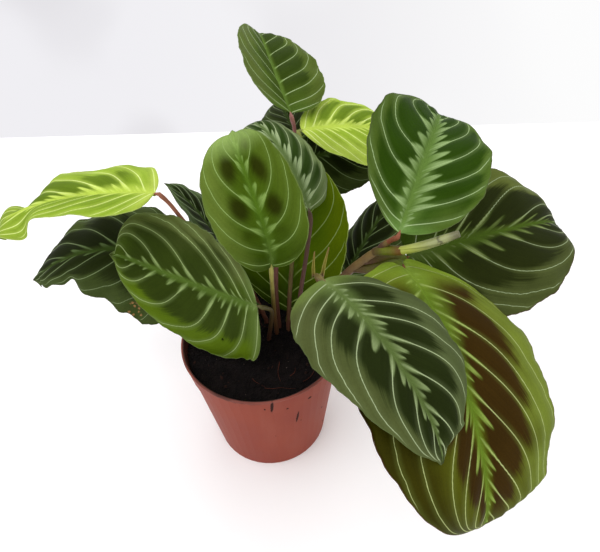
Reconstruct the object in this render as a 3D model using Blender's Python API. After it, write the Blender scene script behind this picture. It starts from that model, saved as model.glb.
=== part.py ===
"""A potted calathea: a round plastic pot, its soil, and sixteen broad leaves on thin stalks.

Units are metres. +Z is up, the origin is the centre of the pot's base, and the side that
the plant leans towards is -Y. Sizes below are given in millimetres and degrees, and MM
turns them into metres.
"""

import math
from dataclasses import dataclass

import bmesh
import bpy
import numpy as np
from mathutils import Vector

MM = 0.001
GAP = 0.3 * MM                     # clearance between pieces that rest on each other

# Pot
POT_HEIGHT = 110.0 * MM
RIM_RADIUS = 60.0 * MM
BASE_RADIUS = 45.5 * MM
COLLAR_HEIGHT = 18.0 * MM
COLLAR_STEP = 1.0 * MM
WALL = 1.6 * MM
FLOOR = 2.0 * MM
BASE_CHAMFER = 1.2 * MM
RIM_CHAMFER = 0.6 * MM
POT_SIDES = 48
DRAIN_COUNT = 6
DRAIN_RADIUS = 4.5 * MM
DRAIN_CIRCLE = 30.0 * MM
DRAIN_SIDES = 12
SHARP_ANGLE = math.radians(35)    # edges sharper than this stay crisp in the shading

# Soil
SOIL_TOP = 102.0 * MM
SOIL_UNEVENNESS = 1.0 * MM
SOIL_WAVE_X = 9.0 * MM             # spacing of the low mounds
SOIL_WAVE_Y = 11.0 * MM
SOIL_RINGS = 5
HOLE_BOTTOM = 82.0 * MM
HOLE_SIDES = 10

# Blades
BLADE_THICKNESS = 0.7 * MM
MIDRIB_THICKNESS = 1.5 * MM
STALK_WIDTH = 2.6 * MM             # width of the blade where it meets its stalk
BLADE_ROWS = 14
BLADE_COLUMNS = (-1.0, -0.72, -0.42, -0.07, 0.0, 0.07, 0.42, 0.72, 1.0)
MIDRIB_STATIONS = 81
HOOK_START = 0.7                   # shares of the length, from the base
TURN_START = 0.55
TURN_END = 0.87
PINCH_PLACE = 0.76
PINCH_REACH = 0.09
BODY_END = 0.965                   # where the rounded outline would close
POINT_START = 0.93                 # where the pointed tip takes over
POINT_WIDTH = 0.16                 # its share of the half width there
RIGHT_EDGE_PHASE = 1.9             # so that the two edges don't wave together

# Stalks
STALK_FOOT_RADIUS = 1.7 * MM
STALK_KNEE_RADIUS = 1.3 * MM
STALK_END_RADIUS = 0.9 * MM
STRAIGHT_TOP = 105.0 * MM          # the stalks leave the soil upright
NECK_LENGTH = 2.5 * MM             # the stretch in line with the blade
NECK_GAP = 0.5 * MM
STALK_PARTS = 3                    # straight parts between two points of a route
STEM_FOOT_RADIUS = 3.2 * MM
STEM_END_RADIUS = 2.4 * MM


@dataclass(frozen=True)
class Leaf:
    """One leaf: where its blade starts, how it bends and how wide each half is (mm, degrees)."""

    name: str
    base: tuple                    # where the stalk meets the blade
    heading: float                 # from +X towards +Y
    pitch: float                   # above the horizon, at the base
    roll: float                    # right edge down
    length: float
    left_width: float
    right_width: float
    foot: tuple                    # where the stalk leaves the soil, or its fork on the stem
    route: tuple = ()              # points that the stalk passes through on its way up
    on_stem: bool = False          # the stalk forks from the right stem
    sway: float = 0.0              # change of heading from base to tip
    droop: float = 30.0            # change of pitch from base to tip
    twist: float = 0.0             # change of roll from base to tip
    hook: float = 5.0              # extra droop of the last third
    turn: float = 0.0              # extra roll of the outer half
    pinch: float = 0.0             # extra fold of both halves near three quarters
    left_fold: float = 15.0        # angle of each half at the midrib
    right_fold: float = 15.0
    left_curl: float = 25.0        # how far each half bends back towards its edge
    right_curl: float = 25.0
    left_peak: float = 0.45        # where along the blade each half is widest
    right_peak: float = 0.45
    left_round: float = 0.6        # lower is blunter
    right_round: float = 0.6
    ripple: float = 1.0            # height of the waves along the edge
    ripples: float = 3.5           # number of waves along each edge


LEAVES = (
    Leaf("top", (31, 94, 240), 108, 28, 9, 103, 34, 39, (13, 14),
         route=((13, 22, 140), (17, 42, 172), (24, 62, 197), (29, 82, 210), (33, 95, 224)),
         sway=-10, droop=28, twist=-1, hook=22, left_fold=37, right_fold=11, left_curl=7,
         right_curl=30, left_peak=0.30, right_peak=0.40, left_round=0.45, right_round=0.45),
    Leaf("lime_right", (38, 91, 228), 20, -3, 20, 102, 34, 34, (20, 11),
         route=((23, 20, 135), (28, 38, 168), (32, 54, 190), (36, 71, 206), (38, 83, 218)),
         sway=2, droop=33, twist=-2, left_fold=9, right_fold=7, left_curl=33, right_curl=35,
         right_peak=0.50, left_round=0.65, right_round=0.65, ripple=1.2),
    Leaf("upright_right", (89, -30, 228), 62, 35, 18, 121, 41, 40, (80, -17, 205),
         route=((85, -25, 218),), on_stem=True, sway=11, droop=55, twist=5, hook=4,
         left_fold=23, right_fold=25, left_curl=17, right_curl=15, left_peak=0.50,
         right_peak=0.40, ripple=1.5),
    Leaf("far_right", (102, -3, 184), 12, 8, 42, 147, 54, 59, (72, -11, 191),
         route=((88, -8, 191),), on_stem=True, sway=24, droop=34, twist=-11, hook=28,
         left_fold=13, right_fold=24, left_curl=29, right_curl=14, left_peak=0.30,
         right_peak=0.35, left_round=0.45, right_round=0.55, ripple=1.5),
    Leaf("large_front_right", (97, -18, 190), -76, 15, -6, 181, 62, 67, (66, -7, 181),
         route=((76, -11, 184), (88, -14, 188)), on_stem=True, sway=-5, droop=88, twist=-1,
         hook=31, left_fold=5, right_fold=19, left_curl=38, right_curl=18, left_peak=0.55,
         right_peak=0.45, left_round=0.30, ripple=1.5),
    Leaf("front", (44, -53, 217), -52, 0, -1, 119, 42, 43, (50, 1, 146),
         route=((46, -9, 166), (42, -18, 184), (41, -34, 202)), on_stem=True, sway=-17,
         droop=38, twist=-14, hook=52, left_fold=10, right_fold=15, left_curl=29,
         right_curl=22, left_peak=0.50, right_peak=0.35, ripple=1.2),
    Leaf("front_left", (2, -19, 162), 142, -13, -72, 120, 52, 45, (5, 2),
         route=((9, -4, 132), (10, -12, 150)), sway=26, droop=-40, twist=26, hook=20,
         left_fold=7, right_fold=19, left_curl=24, right_curl=17, left_peak=0.25,
         right_peak=0.55, left_round=0.55, right_round=0.25, ripple=0.8),
    Leaf("wavy_left", (-55, 51, 142), 173, 28, -26, 143, 56, 52, (-4, 13),
         route=((-12, 22, 119), (-32, 39, 130)), sway=4, droop=75, twist=4, hook=-7,
         left_fold=2, right_fold=-3, left_curl=22, right_curl=32, left_peak=0.10,
         left_round=0.65, ripple=3.0, ripples=4.0),
    Leaf("lime_left", (-61, 34, 220), 172, 3, 3, 124, 39, 39, (3, 20),
         route=((-8, 27, 135), (-28, 31, 162), (-46, 37, 190), (-54, 37, 208)), sway=25,
         droop=19, twist=11, hook=102, turn=-11, pinch=-39, left_fold=19, left_curl=20,
         right_curl=24, left_peak=0.25, right_peak=0.40, left_round=0.55, right_round=0.50,
         ripple=0.8),
    Leaf("centre", (13, -6, 185), 135, 96, -22, 98, 33, 33, (11, 8),
         route=((11, 4, 130), (12, -4, 165)), sway=-35, droop=85, twist=10, hook=-8,
         left_fold=29, right_fold=37, left_curl=9, right_curl=1, left_peak=0.50,
         right_peak=0.50, left_round=0.55, right_round=0.55, ripple=0.8),
    Leaf("behind_centre", (40, 28, 203), 116, 54, 10, 89, 30, 29, (28, 10),
         route=((30, 11, 135), (36, 17, 170), (40, 24, 192)), sway=9, droop=57, twist=-20,
         hook=45, left_fold=16, right_fold=6, left_curl=32, right_curl=44, right_peak=0.30,
         left_round=0.55, right_round=0.55),
    Leaf("small_left", (-29, 63, 147), 162, 72, -11, 67, 22, 22, (-3, 30),
         route=((-9, 39, 119), (-22, 54, 132)), sway=5, droop=28, twist=4, hook=18,
         left_fold=30, right_fold=1, left_curl=12, right_curl=41, left_peak=0.40,
         left_round=0.65, right_round=0.65, ripple=1.5),
    Leaf("low_back", (21, 18, 115), 72, 65, 0, 119, 39, 39, (20, 18), droop=21,
         left_curl=28, right_curl=28, right_peak=0.55),
    Leaf("shaded_back", (39, 110, 190), 16, 10, 26, 102, 35, 36, (32, 35),
         route=((33, 44, 125), (34, 62, 150), (34, 85, 172), (34, 103, 185)), droop=24,
         left_fold=13, right_fold=-3, left_curl=24, right_curl=39, right_peak=0.25,
         left_round=0.65, right_round=0.65, ripple=0.8),
    Leaf("low_right", (66, 36, 132), 47, 43, -5, 92, 30, 30, (42, 22),
         route=((50, 27, 116),), droop=27, left_fold=-3, left_curl=48, right_curl=30),
    Leaf("small_back", (36, 109, 209), 106, 13, -3, 62, 22, 21, (19, 43),
         route=((18, 52, 135), (19, 68, 163), (26, 88, 188), (34, 101, 202)), sway=-3,
         droop=20, twist=-2, hook=-1, left_fold=6, right_fold=13, left_curl=33,
         left_peak=0.50, ripple=0.8),
)

# Right stem, mm: it rises from the soil and carries four leaves and the rolled one
STEM_ROUTE = ((36, 5, 82), (36, 5, 105), (43, 4, 132), (60, -4, 170), (73, -12, 193),
              (81, -18, 206))

# Rolled leaf, mm: route, then radius at each point
ROLL_ROUTE = ((83.4, -22.2, 208.4), (90, -28.5, 213), (100, -33, 219), (112, -36, 226),
              (121, -37, 231))
ROLL_RADII = (1.2, 2.5, 2.9, 2.5, 0.8)

# Sheaths, mm: route, then radius at each point
SHEATHS = {
    "sheath_tall": (((45.2, -14.7, 181.5), (47, -14, 192), (50, -13, 205)), (1.3, 1.1, 0.4)),
    "sheath_short": (((40, -15, 182), (40, -14, 191), (41, -14, 203)), (1.3, 1.0, 0.4)),
}

COLOURS = {
    "pot": (0.50, 0.13, 0.07),
    "soil": (0.012, 0.009, 0.007),
    "blade": (0.045, 0.16, 0.025),
    "lime blade": (0.22, 0.42, 0.04),
    "stalk": (0.20, 0.15, 0.06),
    "stem": (0.13, 0.06, 0.04),
    "rolled leaf": (0.42, 0.48, 0.22),
    "sheath": (0.30, 0.22, 0.07),
}


def clear_scene():
    """Remove every object of the open scene."""
    for item in list(bpy.data.objects):
        bpy.data.objects.remove(item, do_unlink=True)


def material(name, roughness):
    """Return the plain material of that name, made the first time it is asked for."""
    found = bpy.data.materials.get(name)
    if found:
        return found
    made = bpy.data.materials.new(name)
    made.use_nodes = True
    shader = made.node_tree.nodes["Principled BSDF"]
    shader.inputs["Base Color"].default_value = (*COLOURS[name], 1.0)
    shader.inputs["Roughness"].default_value = roughness
    shader.inputs["Metallic"].default_value = 0.0
    return made


def add_object(name, data, finish=None):
    """Put data into the scene as an object with one material."""
    item = bpy.data.objects.new(name, data)
    bpy.context.scene.collection.objects.link(item)
    if finish:
        data.materials.clear()
        data.materials.append(finish)
    return item


def mesh_from_bmesh(name, form):
    """Recalculate the normals outwards and turn a bmesh into a mesh."""
    bmesh.ops.recalc_face_normals(form, faces=form.faces)
    mesh = bpy.data.meshes.new(name)
    form.to_mesh(mesh)
    form.free()
    return mesh


def finish_solid(item, finish):
    """Give a cut or joined solid its one material and smooth shading."""
    item.data.materials.clear()
    item.data.materials.append(finish)
    item.data.shade_smooth()
    item.data.set_sharp_from_angle(angle=SHARP_ANGLE)
    return item


def turned_solid(name, profile, sides):
    """Spin a profile of (radius, height) points about Z into a closed solid."""
    form = bmesh.new()
    points = [form.verts.new((radius, 0.0, height)) for radius, height in profile]
    edges = [form.edges.new(pair) for pair in zip(points, points[1:])]
    bmesh.ops.spin(form, geom=points + edges, cent=(0, 0, 0), axis=(0, 0, 1),
                   angle=2 * math.pi, steps=sides, use_merge=True)
    bmesh.ops.remove_doubles(form, verts=form.verts, dist=0.01 * MM)
    return mesh_from_bmesh(name, form)


def cylinder(name, centre, radius, low, high, sides):
    """Return a cylinder object between two heights."""
    form = bmesh.new()
    bmesh.ops.create_cone(form, cap_ends=True, segments=sides, radius1=radius, radius2=radius,
                          depth=high - low)
    bmesh.ops.translate(form, verts=form.verts, vec=(*centre, (low + high) / 2))
    return add_object(name, mesh_from_bmesh(name, form))


def combine(target, tools, operation):
    """Join the tools to the target, or cut them out of it, and remove them."""
    group = bpy.data.collections.new("tools")
    bpy.context.scene.collection.children.link(group)
    for tool in tools:
        group.objects.link(tool)
    change = target.modifiers.new("combine", "BOOLEAN")
    change.operation = operation
    change.operand_type = "COLLECTION"
    change.collection = group
    bpy.context.view_layer.update()
    result = bpy.data.meshes.new_from_object(
        target.evaluated_get(bpy.context.evaluated_depsgraph_get()))
    target.modifiers.remove(change)
    target.data = result
    for tool in tools:
        bpy.data.objects.remove(tool, do_unlink=True)
    bpy.data.collections.remove(group)


def outer_radius(height):
    """Radius of the pot's tapered wall below the collar."""
    top = RIM_RADIUS - COLLAR_STEP
    return BASE_RADIUS + (top - BASE_RADIUS) * height / POT_HEIGHT


def build_pot():
    """The tapered pot with its collar band and drainage holes."""
    collar = POT_HEIGHT - COLLAR_HEIGHT
    profile = (
        (0.0, 0.0),
        (BASE_RADIUS - BASE_CHAMFER, 0.0),
        (BASE_RADIUS, BASE_CHAMFER),
        (outer_radius(collar), collar),
        (outer_radius(collar) + COLLAR_STEP, collar + COLLAR_STEP),
        (RIM_RADIUS, POT_HEIGHT - RIM_CHAMFER),
        (RIM_RADIUS - RIM_CHAMFER, POT_HEIGHT),
        (RIM_RADIUS - WALL, POT_HEIGHT),
        (outer_radius(collar) - WALL, collar),
        (outer_radius(FLOOR) - WALL, FLOOR),
        (0.0, FLOOR),
    )
    pot = add_object("pot", turned_solid("pot", profile, POT_SIDES))
    drains = []
    for number in range(DRAIN_COUNT):
        angle = 2 * math.pi * (number + 0.5) / DRAIN_COUNT
        centre = (DRAIN_CIRCLE * math.cos(angle), DRAIN_CIRCLE * math.sin(angle))
        drains.append(cylinder("drain", centre, DRAIN_RADIUS, -FLOOR, 2 * FLOOR,
                               DRAIN_SIDES))
    combine(pot, drains, "DIFFERENCE")
    return finish_solid(pot, material("pot", 0.45))


def soil_height(x, y):
    """Height of the uneven soil at a place in the pot."""
    wave = math.sin(x / SOIL_WAVE_X) * math.cos(y / SOIL_WAVE_Y)
    return SOIL_TOP + SOIL_UNEVENNESS * wave


def build_soil():
    """The soil that fills the pot, with a plain hole for each stalk."""
    form = bmesh.new()
    collar = POT_HEIGHT - COLLAR_HEIGHT
    edge_radius = outer_radius(SOIL_TOP) - WALL - GAP
    rings = [(outer_radius(FLOOR) - WALL - GAP, FLOOR + GAP),
             (outer_radius(collar) - WALL - GAP, collar)]
    for step in range(SOIL_RINGS):
        rings.append((edge_radius * (1 - step / SOIL_RINGS), None))
    rows = []
    for radius, height in rings:
        row = []
        for number in range(POT_SIDES):
            angle = 2 * math.pi * number / POT_SIDES
            x = radius * math.cos(angle)
            y = radius * math.sin(angle)
            z = soil_height(x, y) if height is None else height
            row.append(form.verts.new((x, y, z)))
        rows.append(row)
    for low, high in zip(rows, rows[1:]):
        for number in range(POT_SIDES):
            after = (number + 1) % POT_SIDES
            form.faces.new((low[number], low[after], high[after], high[number]))
    form.faces.new(rows[0])
    middle = form.verts.new((0.0, 0.0, soil_height(0.0, 0.0)))
    for number in range(POT_SIDES):
        form.faces.new((rows[-1][number], rows[-1][(number + 1) % POT_SIDES], middle))
    soil = add_object("soil", mesh_from_bmesh("soil", form))
    feet = [(leaf.foot, STALK_FOOT_RADIUS) for leaf in LEAVES if not leaf.on_stem]
    feet.append((STEM_ROUTE[0][:2], STEM_FOOT_RADIUS))
    holes = []
    for (x, y), radius in feet:
        holes.append(cylinder("hole", (x * MM, y * MM), radius + 2 * GAP, HOLE_BOTTOM - GAP,
                              POT_HEIGHT, HOLE_SIDES))
    combine(soil, holes, "DIFFERENCE")
    return finish_solid(soil, material("soil", 0.95))


def direction(heading, pitch):
    """Unit vector from a heading and a pitch in radians."""
    return np.stack([np.cos(pitch) * np.cos(heading), np.cos(pitch) * np.sin(heading),
                     np.sin(pitch)], axis=-1)


def midrib(leaf):
    """Places along the midrib, with the direction to the right edge and the upward normal."""
    along = np.linspace(0.0, 1.0, MIDRIB_STATIONS)
    heading = np.radians(leaf.heading + leaf.sway * along)
    late = np.clip((along - HOOK_START) / (1 - HOOK_START), 0.0, 1.0) ** 2
    pitch = np.radians(leaf.pitch - leaf.droop * along - leaf.hook * late)
    outer = np.clip((along - TURN_START) / (TURN_END - TURN_START), 0.0, 1.0)
    outer = outer * outer * (3 - 2 * outer)
    roll = np.radians(leaf.roll + leaf.twist * along + leaf.turn * outer)[:, None]
    forward = direction(heading, pitch)
    level = np.stack([np.sin(heading), -np.cos(heading), 0 * heading], axis=-1)
    across = level * np.cos(roll) - np.cross(level, forward) * np.sin(roll)
    steps = (forward[1:] + forward[:-1]) / 2 * leaf.length / (MIDRIB_STATIONS - 1)
    places = np.array(leaf.base, float) + np.vstack([np.zeros(3), np.cumsum(steps, axis=0)])
    return along, places, across, np.cross(across, forward)


def width_share(along, peak, roundness):
    """Share of the half width at a place along the blade: rounded base, short pointed tip."""
    bend = math.log(0.5) / math.log(peak)
    body = max(math.sin(math.pi * min(along / BODY_END, 1.0) ** bend), 0.0) ** roundness
    if along < POINT_START:
        return body
    return max(body, POINT_WIDTH * (1 - along) / (1 - POINT_START))


def blade_point(leaf, spine, side, along):
    """A point of the blade: side runs from -1 at the left edge to 1 at the right one."""
    stations, places, across, up = spine
    at = [np.array([np.interp(along, stations, track[:, axis]) for axis in range(3)])
          for track in (places, across, up)]
    left = side < 0
    fold = leaf.left_fold if left else leaf.right_fold
    pinch = leaf.pinch * math.exp(-((along - PINCH_PLACE) / PINCH_REACH) ** 2)
    fold = math.radians(fold + pinch)
    curl = math.radians(leaf.left_curl if left else leaf.right_curl)
    reach = abs(side)
    sideways = (math.sin(fold) - math.sin(fold - curl * reach)) / curl
    lift = (math.cos(fold - curl * reach) - math.cos(fold)) / curl
    peak = leaf.left_peak if left else leaf.right_peak
    roundness = leaf.left_round if left else leaf.right_round
    share = width_share(along, peak, roundness)
    width = (leaf.left_width if left else leaf.right_width) * share
    width = max(width, (1 - along) * STALK_WIDTH / MM / 2)
    phase = 0.0 if left else RIGHT_EDGE_PHASE
    wave = leaf.ripple * reach ** 2 * share * math.sin(2 * math.pi * leaf.ripples * along + phase)
    if left:
        sideways = -sideways
    return at[0] + at[1] * sideways * width + at[2] * (lift * width + wave)


def build_blade(leaf):
    """A thin arched blade with a thicker midrib, in triangles that match on both faces."""
    spine = midrib(leaf)
    form = bmesh.new()
    rows = []
    for number in range(BLADE_ROWS):
        along = (1 - math.cos(math.pi * number / BLADE_ROWS)) / 2
        row = []
        for side in BLADE_COLUMNS:
            row.append(form.verts.new(Vector(blade_point(leaf, spine, side, along)) * MM))
        rows.append(row)
    tip = form.verts.new(Vector(blade_point(leaf, spine, 0.0, 1.0)) * MM)
    middle = len(BLADE_COLUMNS) // 2
    for low, high in zip(rows, rows[1:]):
        for number in range(len(BLADE_COLUMNS) - 1):
            a, b = low[number], low[number + 1]
            c, d = high[number + 1], high[number]
            if number < middle:
                form.faces.new((a, b, d))
                form.faces.new((b, c, d))
            else:
                form.faces.new((a, b, c))
                form.faces.new((a, c, d))
    for number in range(len(BLADE_COLUMNS) - 1):
        form.faces.new((rows[-1][number], rows[-1][number + 1], tip))
    name = "blade_" + leaf.name
    mesh = bpy.data.meshes.new(name)
    form.to_mesh(mesh)
    form.free()
    finish = "lime blade" if leaf.name.startswith("lime") else "blade"
    blade = add_object(name, mesh, material(finish, 0.4))
    ribbed = blade.vertex_groups.new(name="thickness")
    for number in range(len(mesh.vertices)):
        on_rib = number == len(mesh.vertices) - 1 or number % len(BLADE_COLUMNS) == middle
        fade = 1 - number / len(mesh.vertices)
        thick = BLADE_THICKNESS + (MIDRIB_THICKNESS - BLADE_THICKNESS) * fade * on_rib
        ribbed.add([number], thick / MIDRIB_THICKNESS, "REPLACE")
    wall = blade.modifiers.new("thickness", "SOLIDIFY")
    wall.thickness = MIDRIB_THICKNESS
    wall.offset = -1.0
    wall.vertex_group = "thickness"
    wall.use_even_offset = False
    return blade


def tube(name, points, radii, finish, sides_level=2):
    """A closed tube through points, with a radius at each, all in metres."""
    data = bpy.data.curves.new(name, "CURVE")
    data.dimensions = "3D"
    data.bevel_depth = 1.0
    data.bevel_resolution = sides_level
    data.use_fill_caps = True
    spline = data.splines.new("POLY")
    spline.points.add(len(points) - 1)
    for point, place, radius in zip(spline.points, points, radii):
        point.co = (*place, 1.0)
        point.radius = radius
    return add_object(name, data, finish)


def smooth_route(route, parts):
    """Points of a smooth curve through points in millimetres, as arrays in metres."""
    ends = [np.array(point, float) * MM for point in route]
    padded = [2 * ends[0] - ends[1]] + ends + [2 * ends[-1] - ends[-2]]
    points = [ends[0]]
    for before, start, end, after in zip(padded, padded[1:], padded[2:], padded[3:]):
        for number in range(1, parts + 1):
            t = number / parts
            points.append(0.5 * (2 * start + (end - before) * t
                                 + (2 * before - 5 * start + 4 * end - after) * t * t
                                 + (3 * start - before - 3 * end + after) * t ** 3))
    return points


def neck(leaf):
    """The last two points of a stalk, in line with the blade and just short of it."""
    spine = midrib(leaf)
    forward = spine[1][1] - spine[1][0]
    forward = forward / np.linalg.norm(forward)
    low = np.array(leaf.base, float) - spine[3][0] * BLADE_THICKNESS / MM
    return low - forward * NECK_LENGTH / MM, low - forward * NECK_GAP / MM


def stalk_points(leaf, start):
    """Points and radii of a stalk from its start to its blade, in metres."""
    knee, end = neck(leaf)
    points = smooth_route((start, *leaf.route, knee), STALK_PARTS) + [end * MM]
    radii = list(np.linspace(STALK_FOOT_RADIUS, STALK_KNEE_RADIUS, len(points) - 1))
    return points, radii + [STALK_END_RADIUS]


def build_stalk(leaf):
    """The thin stalk that rises from its hole in the soil to the blade."""
    x, y = leaf.foot
    points, radii = stalk_points(leaf, (x, y, STRAIGHT_TOP / MM))
    points.insert(0, np.array((x * MM, y * MM, HOLE_BOTTOM)))
    return tube("stalk_" + leaf.name, points, [STALK_FOOT_RADIUS] + radii,
                material("stalk", 0.5))


def solid_tube(name, points, radii, sides_level=2):
    """A tube turned into a mesh object, ready for a union."""
    source = tube(name, points, radii, None, sides_level)
    bpy.context.view_layer.update()
    mesh = bpy.data.meshes.new_from_object(
        source.evaluated_get(bpy.context.evaluated_depsgraph_get()))
    bpy.data.objects.remove(source, do_unlink=True)
    return add_object(name, mesh)


def build_right_stem():
    """The thick stem at the right, in one body with the stalks that fork from it."""
    points = smooth_route(STEM_ROUTE[1:], STALK_PARTS)
    points.insert(0, np.array(STEM_ROUTE[0], float) * MM)
    radii = np.linspace(STEM_FOOT_RADIUS, STEM_END_RADIUS, len(points))
    stem = solid_tube("right_stem", points, radii)
    branches = [solid_tube("branch", *stalk_points(leaf, leaf.foot))
                for leaf in LEAVES if leaf.on_stem]
    combine(stem, branches, "UNION")
    return finish_solid(stem, material("stem", 0.5))


def build_rolled_leaf():
    """The new leaf, still rolled up, beside the fork."""
    points = smooth_route(ROLL_ROUTE, STALK_PARTS)
    marks = np.linspace(0, 1, len(ROLL_RADII))
    radii = np.interp(np.linspace(0, 1, len(points)), marks, ROLL_RADII) * MM
    return tube("rolled_leaf", points, radii, material("rolled leaf", 0.4))


def build_sheaths():
    """The small papery sheaths beside the front leaf's stalk."""
    made = []
    for name, (route, widths) in SHEATHS.items():
        points = smooth_route(route, STALK_PARTS)
        marks = np.linspace(0, 1, len(widths))
        radii = np.interp(np.linspace(0, 1, len(points)), marks, widths) * MM
        made.append(tube(name, points, radii, material("sheath", 0.7), 1))
    return made


def main():
    """Build every piece of the plant."""
    clear_scene()
    build_pot()
    build_soil()
    for leaf in LEAVES:
        build_blade(leaf)
        if not leaf.on_stem:
            build_stalk(leaf)
    build_right_stem()
    build_rolled_leaf()
    build_sheaths()


main()
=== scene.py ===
"""Dressing of the potted calathea: its pot, soil, stalks and sixteen feathered leaves.

Every length is written in millimetres unless it says otherwise, and MM turns it into metres.
+Z is up, the origin is the centre of the pot's base, and the camera looks from the -Y side.
A colour is red, green and blue as a screen shows them, 0 to 255, and a pair of values is for the
left and the right half of a blade.
"""

import logging
import math
from dataclasses import dataclass, field, fields, replace
from enum import Enum

import bmesh
import bpy
import numpy as np
from mathutils import Matrix, Vector


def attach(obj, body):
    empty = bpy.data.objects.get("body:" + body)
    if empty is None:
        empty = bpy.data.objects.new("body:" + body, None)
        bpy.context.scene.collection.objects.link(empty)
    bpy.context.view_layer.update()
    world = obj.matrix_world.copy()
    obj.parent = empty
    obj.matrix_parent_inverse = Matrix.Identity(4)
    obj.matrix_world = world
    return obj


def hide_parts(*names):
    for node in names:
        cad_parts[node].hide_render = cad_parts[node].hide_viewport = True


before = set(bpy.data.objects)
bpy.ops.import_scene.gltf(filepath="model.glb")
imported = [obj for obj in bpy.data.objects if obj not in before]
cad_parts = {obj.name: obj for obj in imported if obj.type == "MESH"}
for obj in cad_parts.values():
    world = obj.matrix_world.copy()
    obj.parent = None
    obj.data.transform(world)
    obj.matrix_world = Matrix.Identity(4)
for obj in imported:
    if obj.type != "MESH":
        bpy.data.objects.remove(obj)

Colour = tuple[int, int, int]
MM = 0.001
BODY = "root"
SURFACE = {"Color": "Color", "Roughness": "Float", "Height": "Float"}
log = logging.getLogger("calathea")


# Helpers for node trees

def srgb(*screen: int) -> tuple[float, ...]:
    """Turn a screen colour into what a shader takes.

    Args:
        screen: Red, green and blue, 0 to 255.

    Returns:
        The linear colour, with full alpha.
    """
    shares = [part / 255 for part in screen]
    return (*(share / 12.92 if share <= 0.04045 else ((share + 0.055) / 1.055) ** 2.4
              for share in shares), 1.0)


def settings(look: object) -> dict[str, object]:
    """Return the fields of a look under the names that its node group gives them."""
    return {entry.name.replace("_", " ").capitalize(): getattr(look, entry.name)
            for entry in fields(look)}


class Bench:
    """Adds nodes to one tree and joins them."""

    def __init__(self, tree: bpy.types.NodeTree) -> None:
        """Keep the tree that this bench works on."""
        self.tree = tree

    def feed(self, socket: bpy.types.NodeSocket, value: object) -> None:
        """Link an input to a value of the tree, or give it a plain one.

        Args:
            socket: The input.
            value: A value of the tree, a socket, a number, a vector or a screen colour.
        """
        value = getattr(value, "socket", value)
        if isinstance(value, bpy.types.NodeSocket):
            self.tree.links.new(value, socket)
        else:
            socket.default_value = srgb(*value) if socket.type == "RGBA" else value

    def add(self, kind: str, inputs: dict | None = None, **traits: object) -> bpy.types.Node:
        """Add one node.

        Args:
            kind: Blender's name of the node type.
            inputs: What its inputs take, by name or number.
            traits: Properties of the node itself.

        Returns:
            The new node.
        """
        node = self.tree.nodes.new(kind)
        for name, value in traits.items():
            setattr(node, name, value)
        for name, value in (inputs or {}).items():
            self.feed(node.inputs[name], value)
        return node

    def get(self, kind: str, inputs: dict | None = None, output: object = 0, **traits: object) -> "Value":
        """Add one node and return one of its outputs, by name or number."""
        return Value(self, self.add(kind, inputs, **traits).outputs[output])

    def math(self, operation: str, *values: object) -> "Value":
        """Return the result of a Math node."""
        return self.get("ShaderNodeMath", dict(enumerate(values)), operation=operation)

    def hypot(self, x: "Value", y: "Value") -> "Value":
        """Return the length of a flat vector."""
        return self.math("SQRT", x * x + y * y)

    def mix(self, share: object, first: object, second: object) -> "Value":
        """Return first coloured over by second with the given share."""
        return self.get("ShaderNodeMix", {0: share, 6: first, 7: second}, 2, data_type="RGBA")

    def layers(self, colour: object, *coats: tuple) -> "Value":
        """Lay coats over a colour.

        Args:
            colour: The colour below.
            coats: Share and colour of each coat, the lowest first.

        Returns:
            The resulting colour.
        """
        for share, coat in coats:
            colour = self.mix(share, colour, coat)
        return colour

    def shade(self, colour: object, factor: "Value") -> "Value":
        """Make a colour lighter or darker.

        Args:
            colour: The colour.
            factor: What it is multiplied by.

        Returns:
            The resulting colour.
        """
        grey = self.get("ShaderNodeCombineColor", {0: factor, 1: factor, 2: factor})
        return self.get("ShaderNodeMix", {0: 1.0, 6: colour, 7: grey}, 2, data_type="RGBA",
                        blend_type="MULTIPLY")

    def attribute(self, name: str, output: str = "Fac") -> "Value":
        """Return what the mesh stores under a name."""
        return self.get("ShaderNodeAttribute", None, output, attribute_name=name)

    def place(self) -> "Value":
        """Return the place on the object, in metres."""
        return self.get("ShaderNodeTexCoord", None, "Object")

    def split(self, vector: "Value") -> list["Value"]:
        """Return the three parts of a vector."""
        return [Value(self, part) for part in self.add("ShaderNodeSeparateXYZ", {0: vector}).outputs]

    def stretch(self, vector: "Value", *scale: float) -> "Value":
        """Return a vector scaled along each axis."""
        return self.get("ShaderNodeMapping", {"Vector": vector, "Scale": scale})

    def noise(self, place: "Value", scale: float, detail: float = 2.0) -> "Value":
        """Return soft noise around 0.5 at a place."""
        return self.get("ShaderNodeTexNoise", {"Vector": place, "Scale": scale, "Detail": detail})


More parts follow.
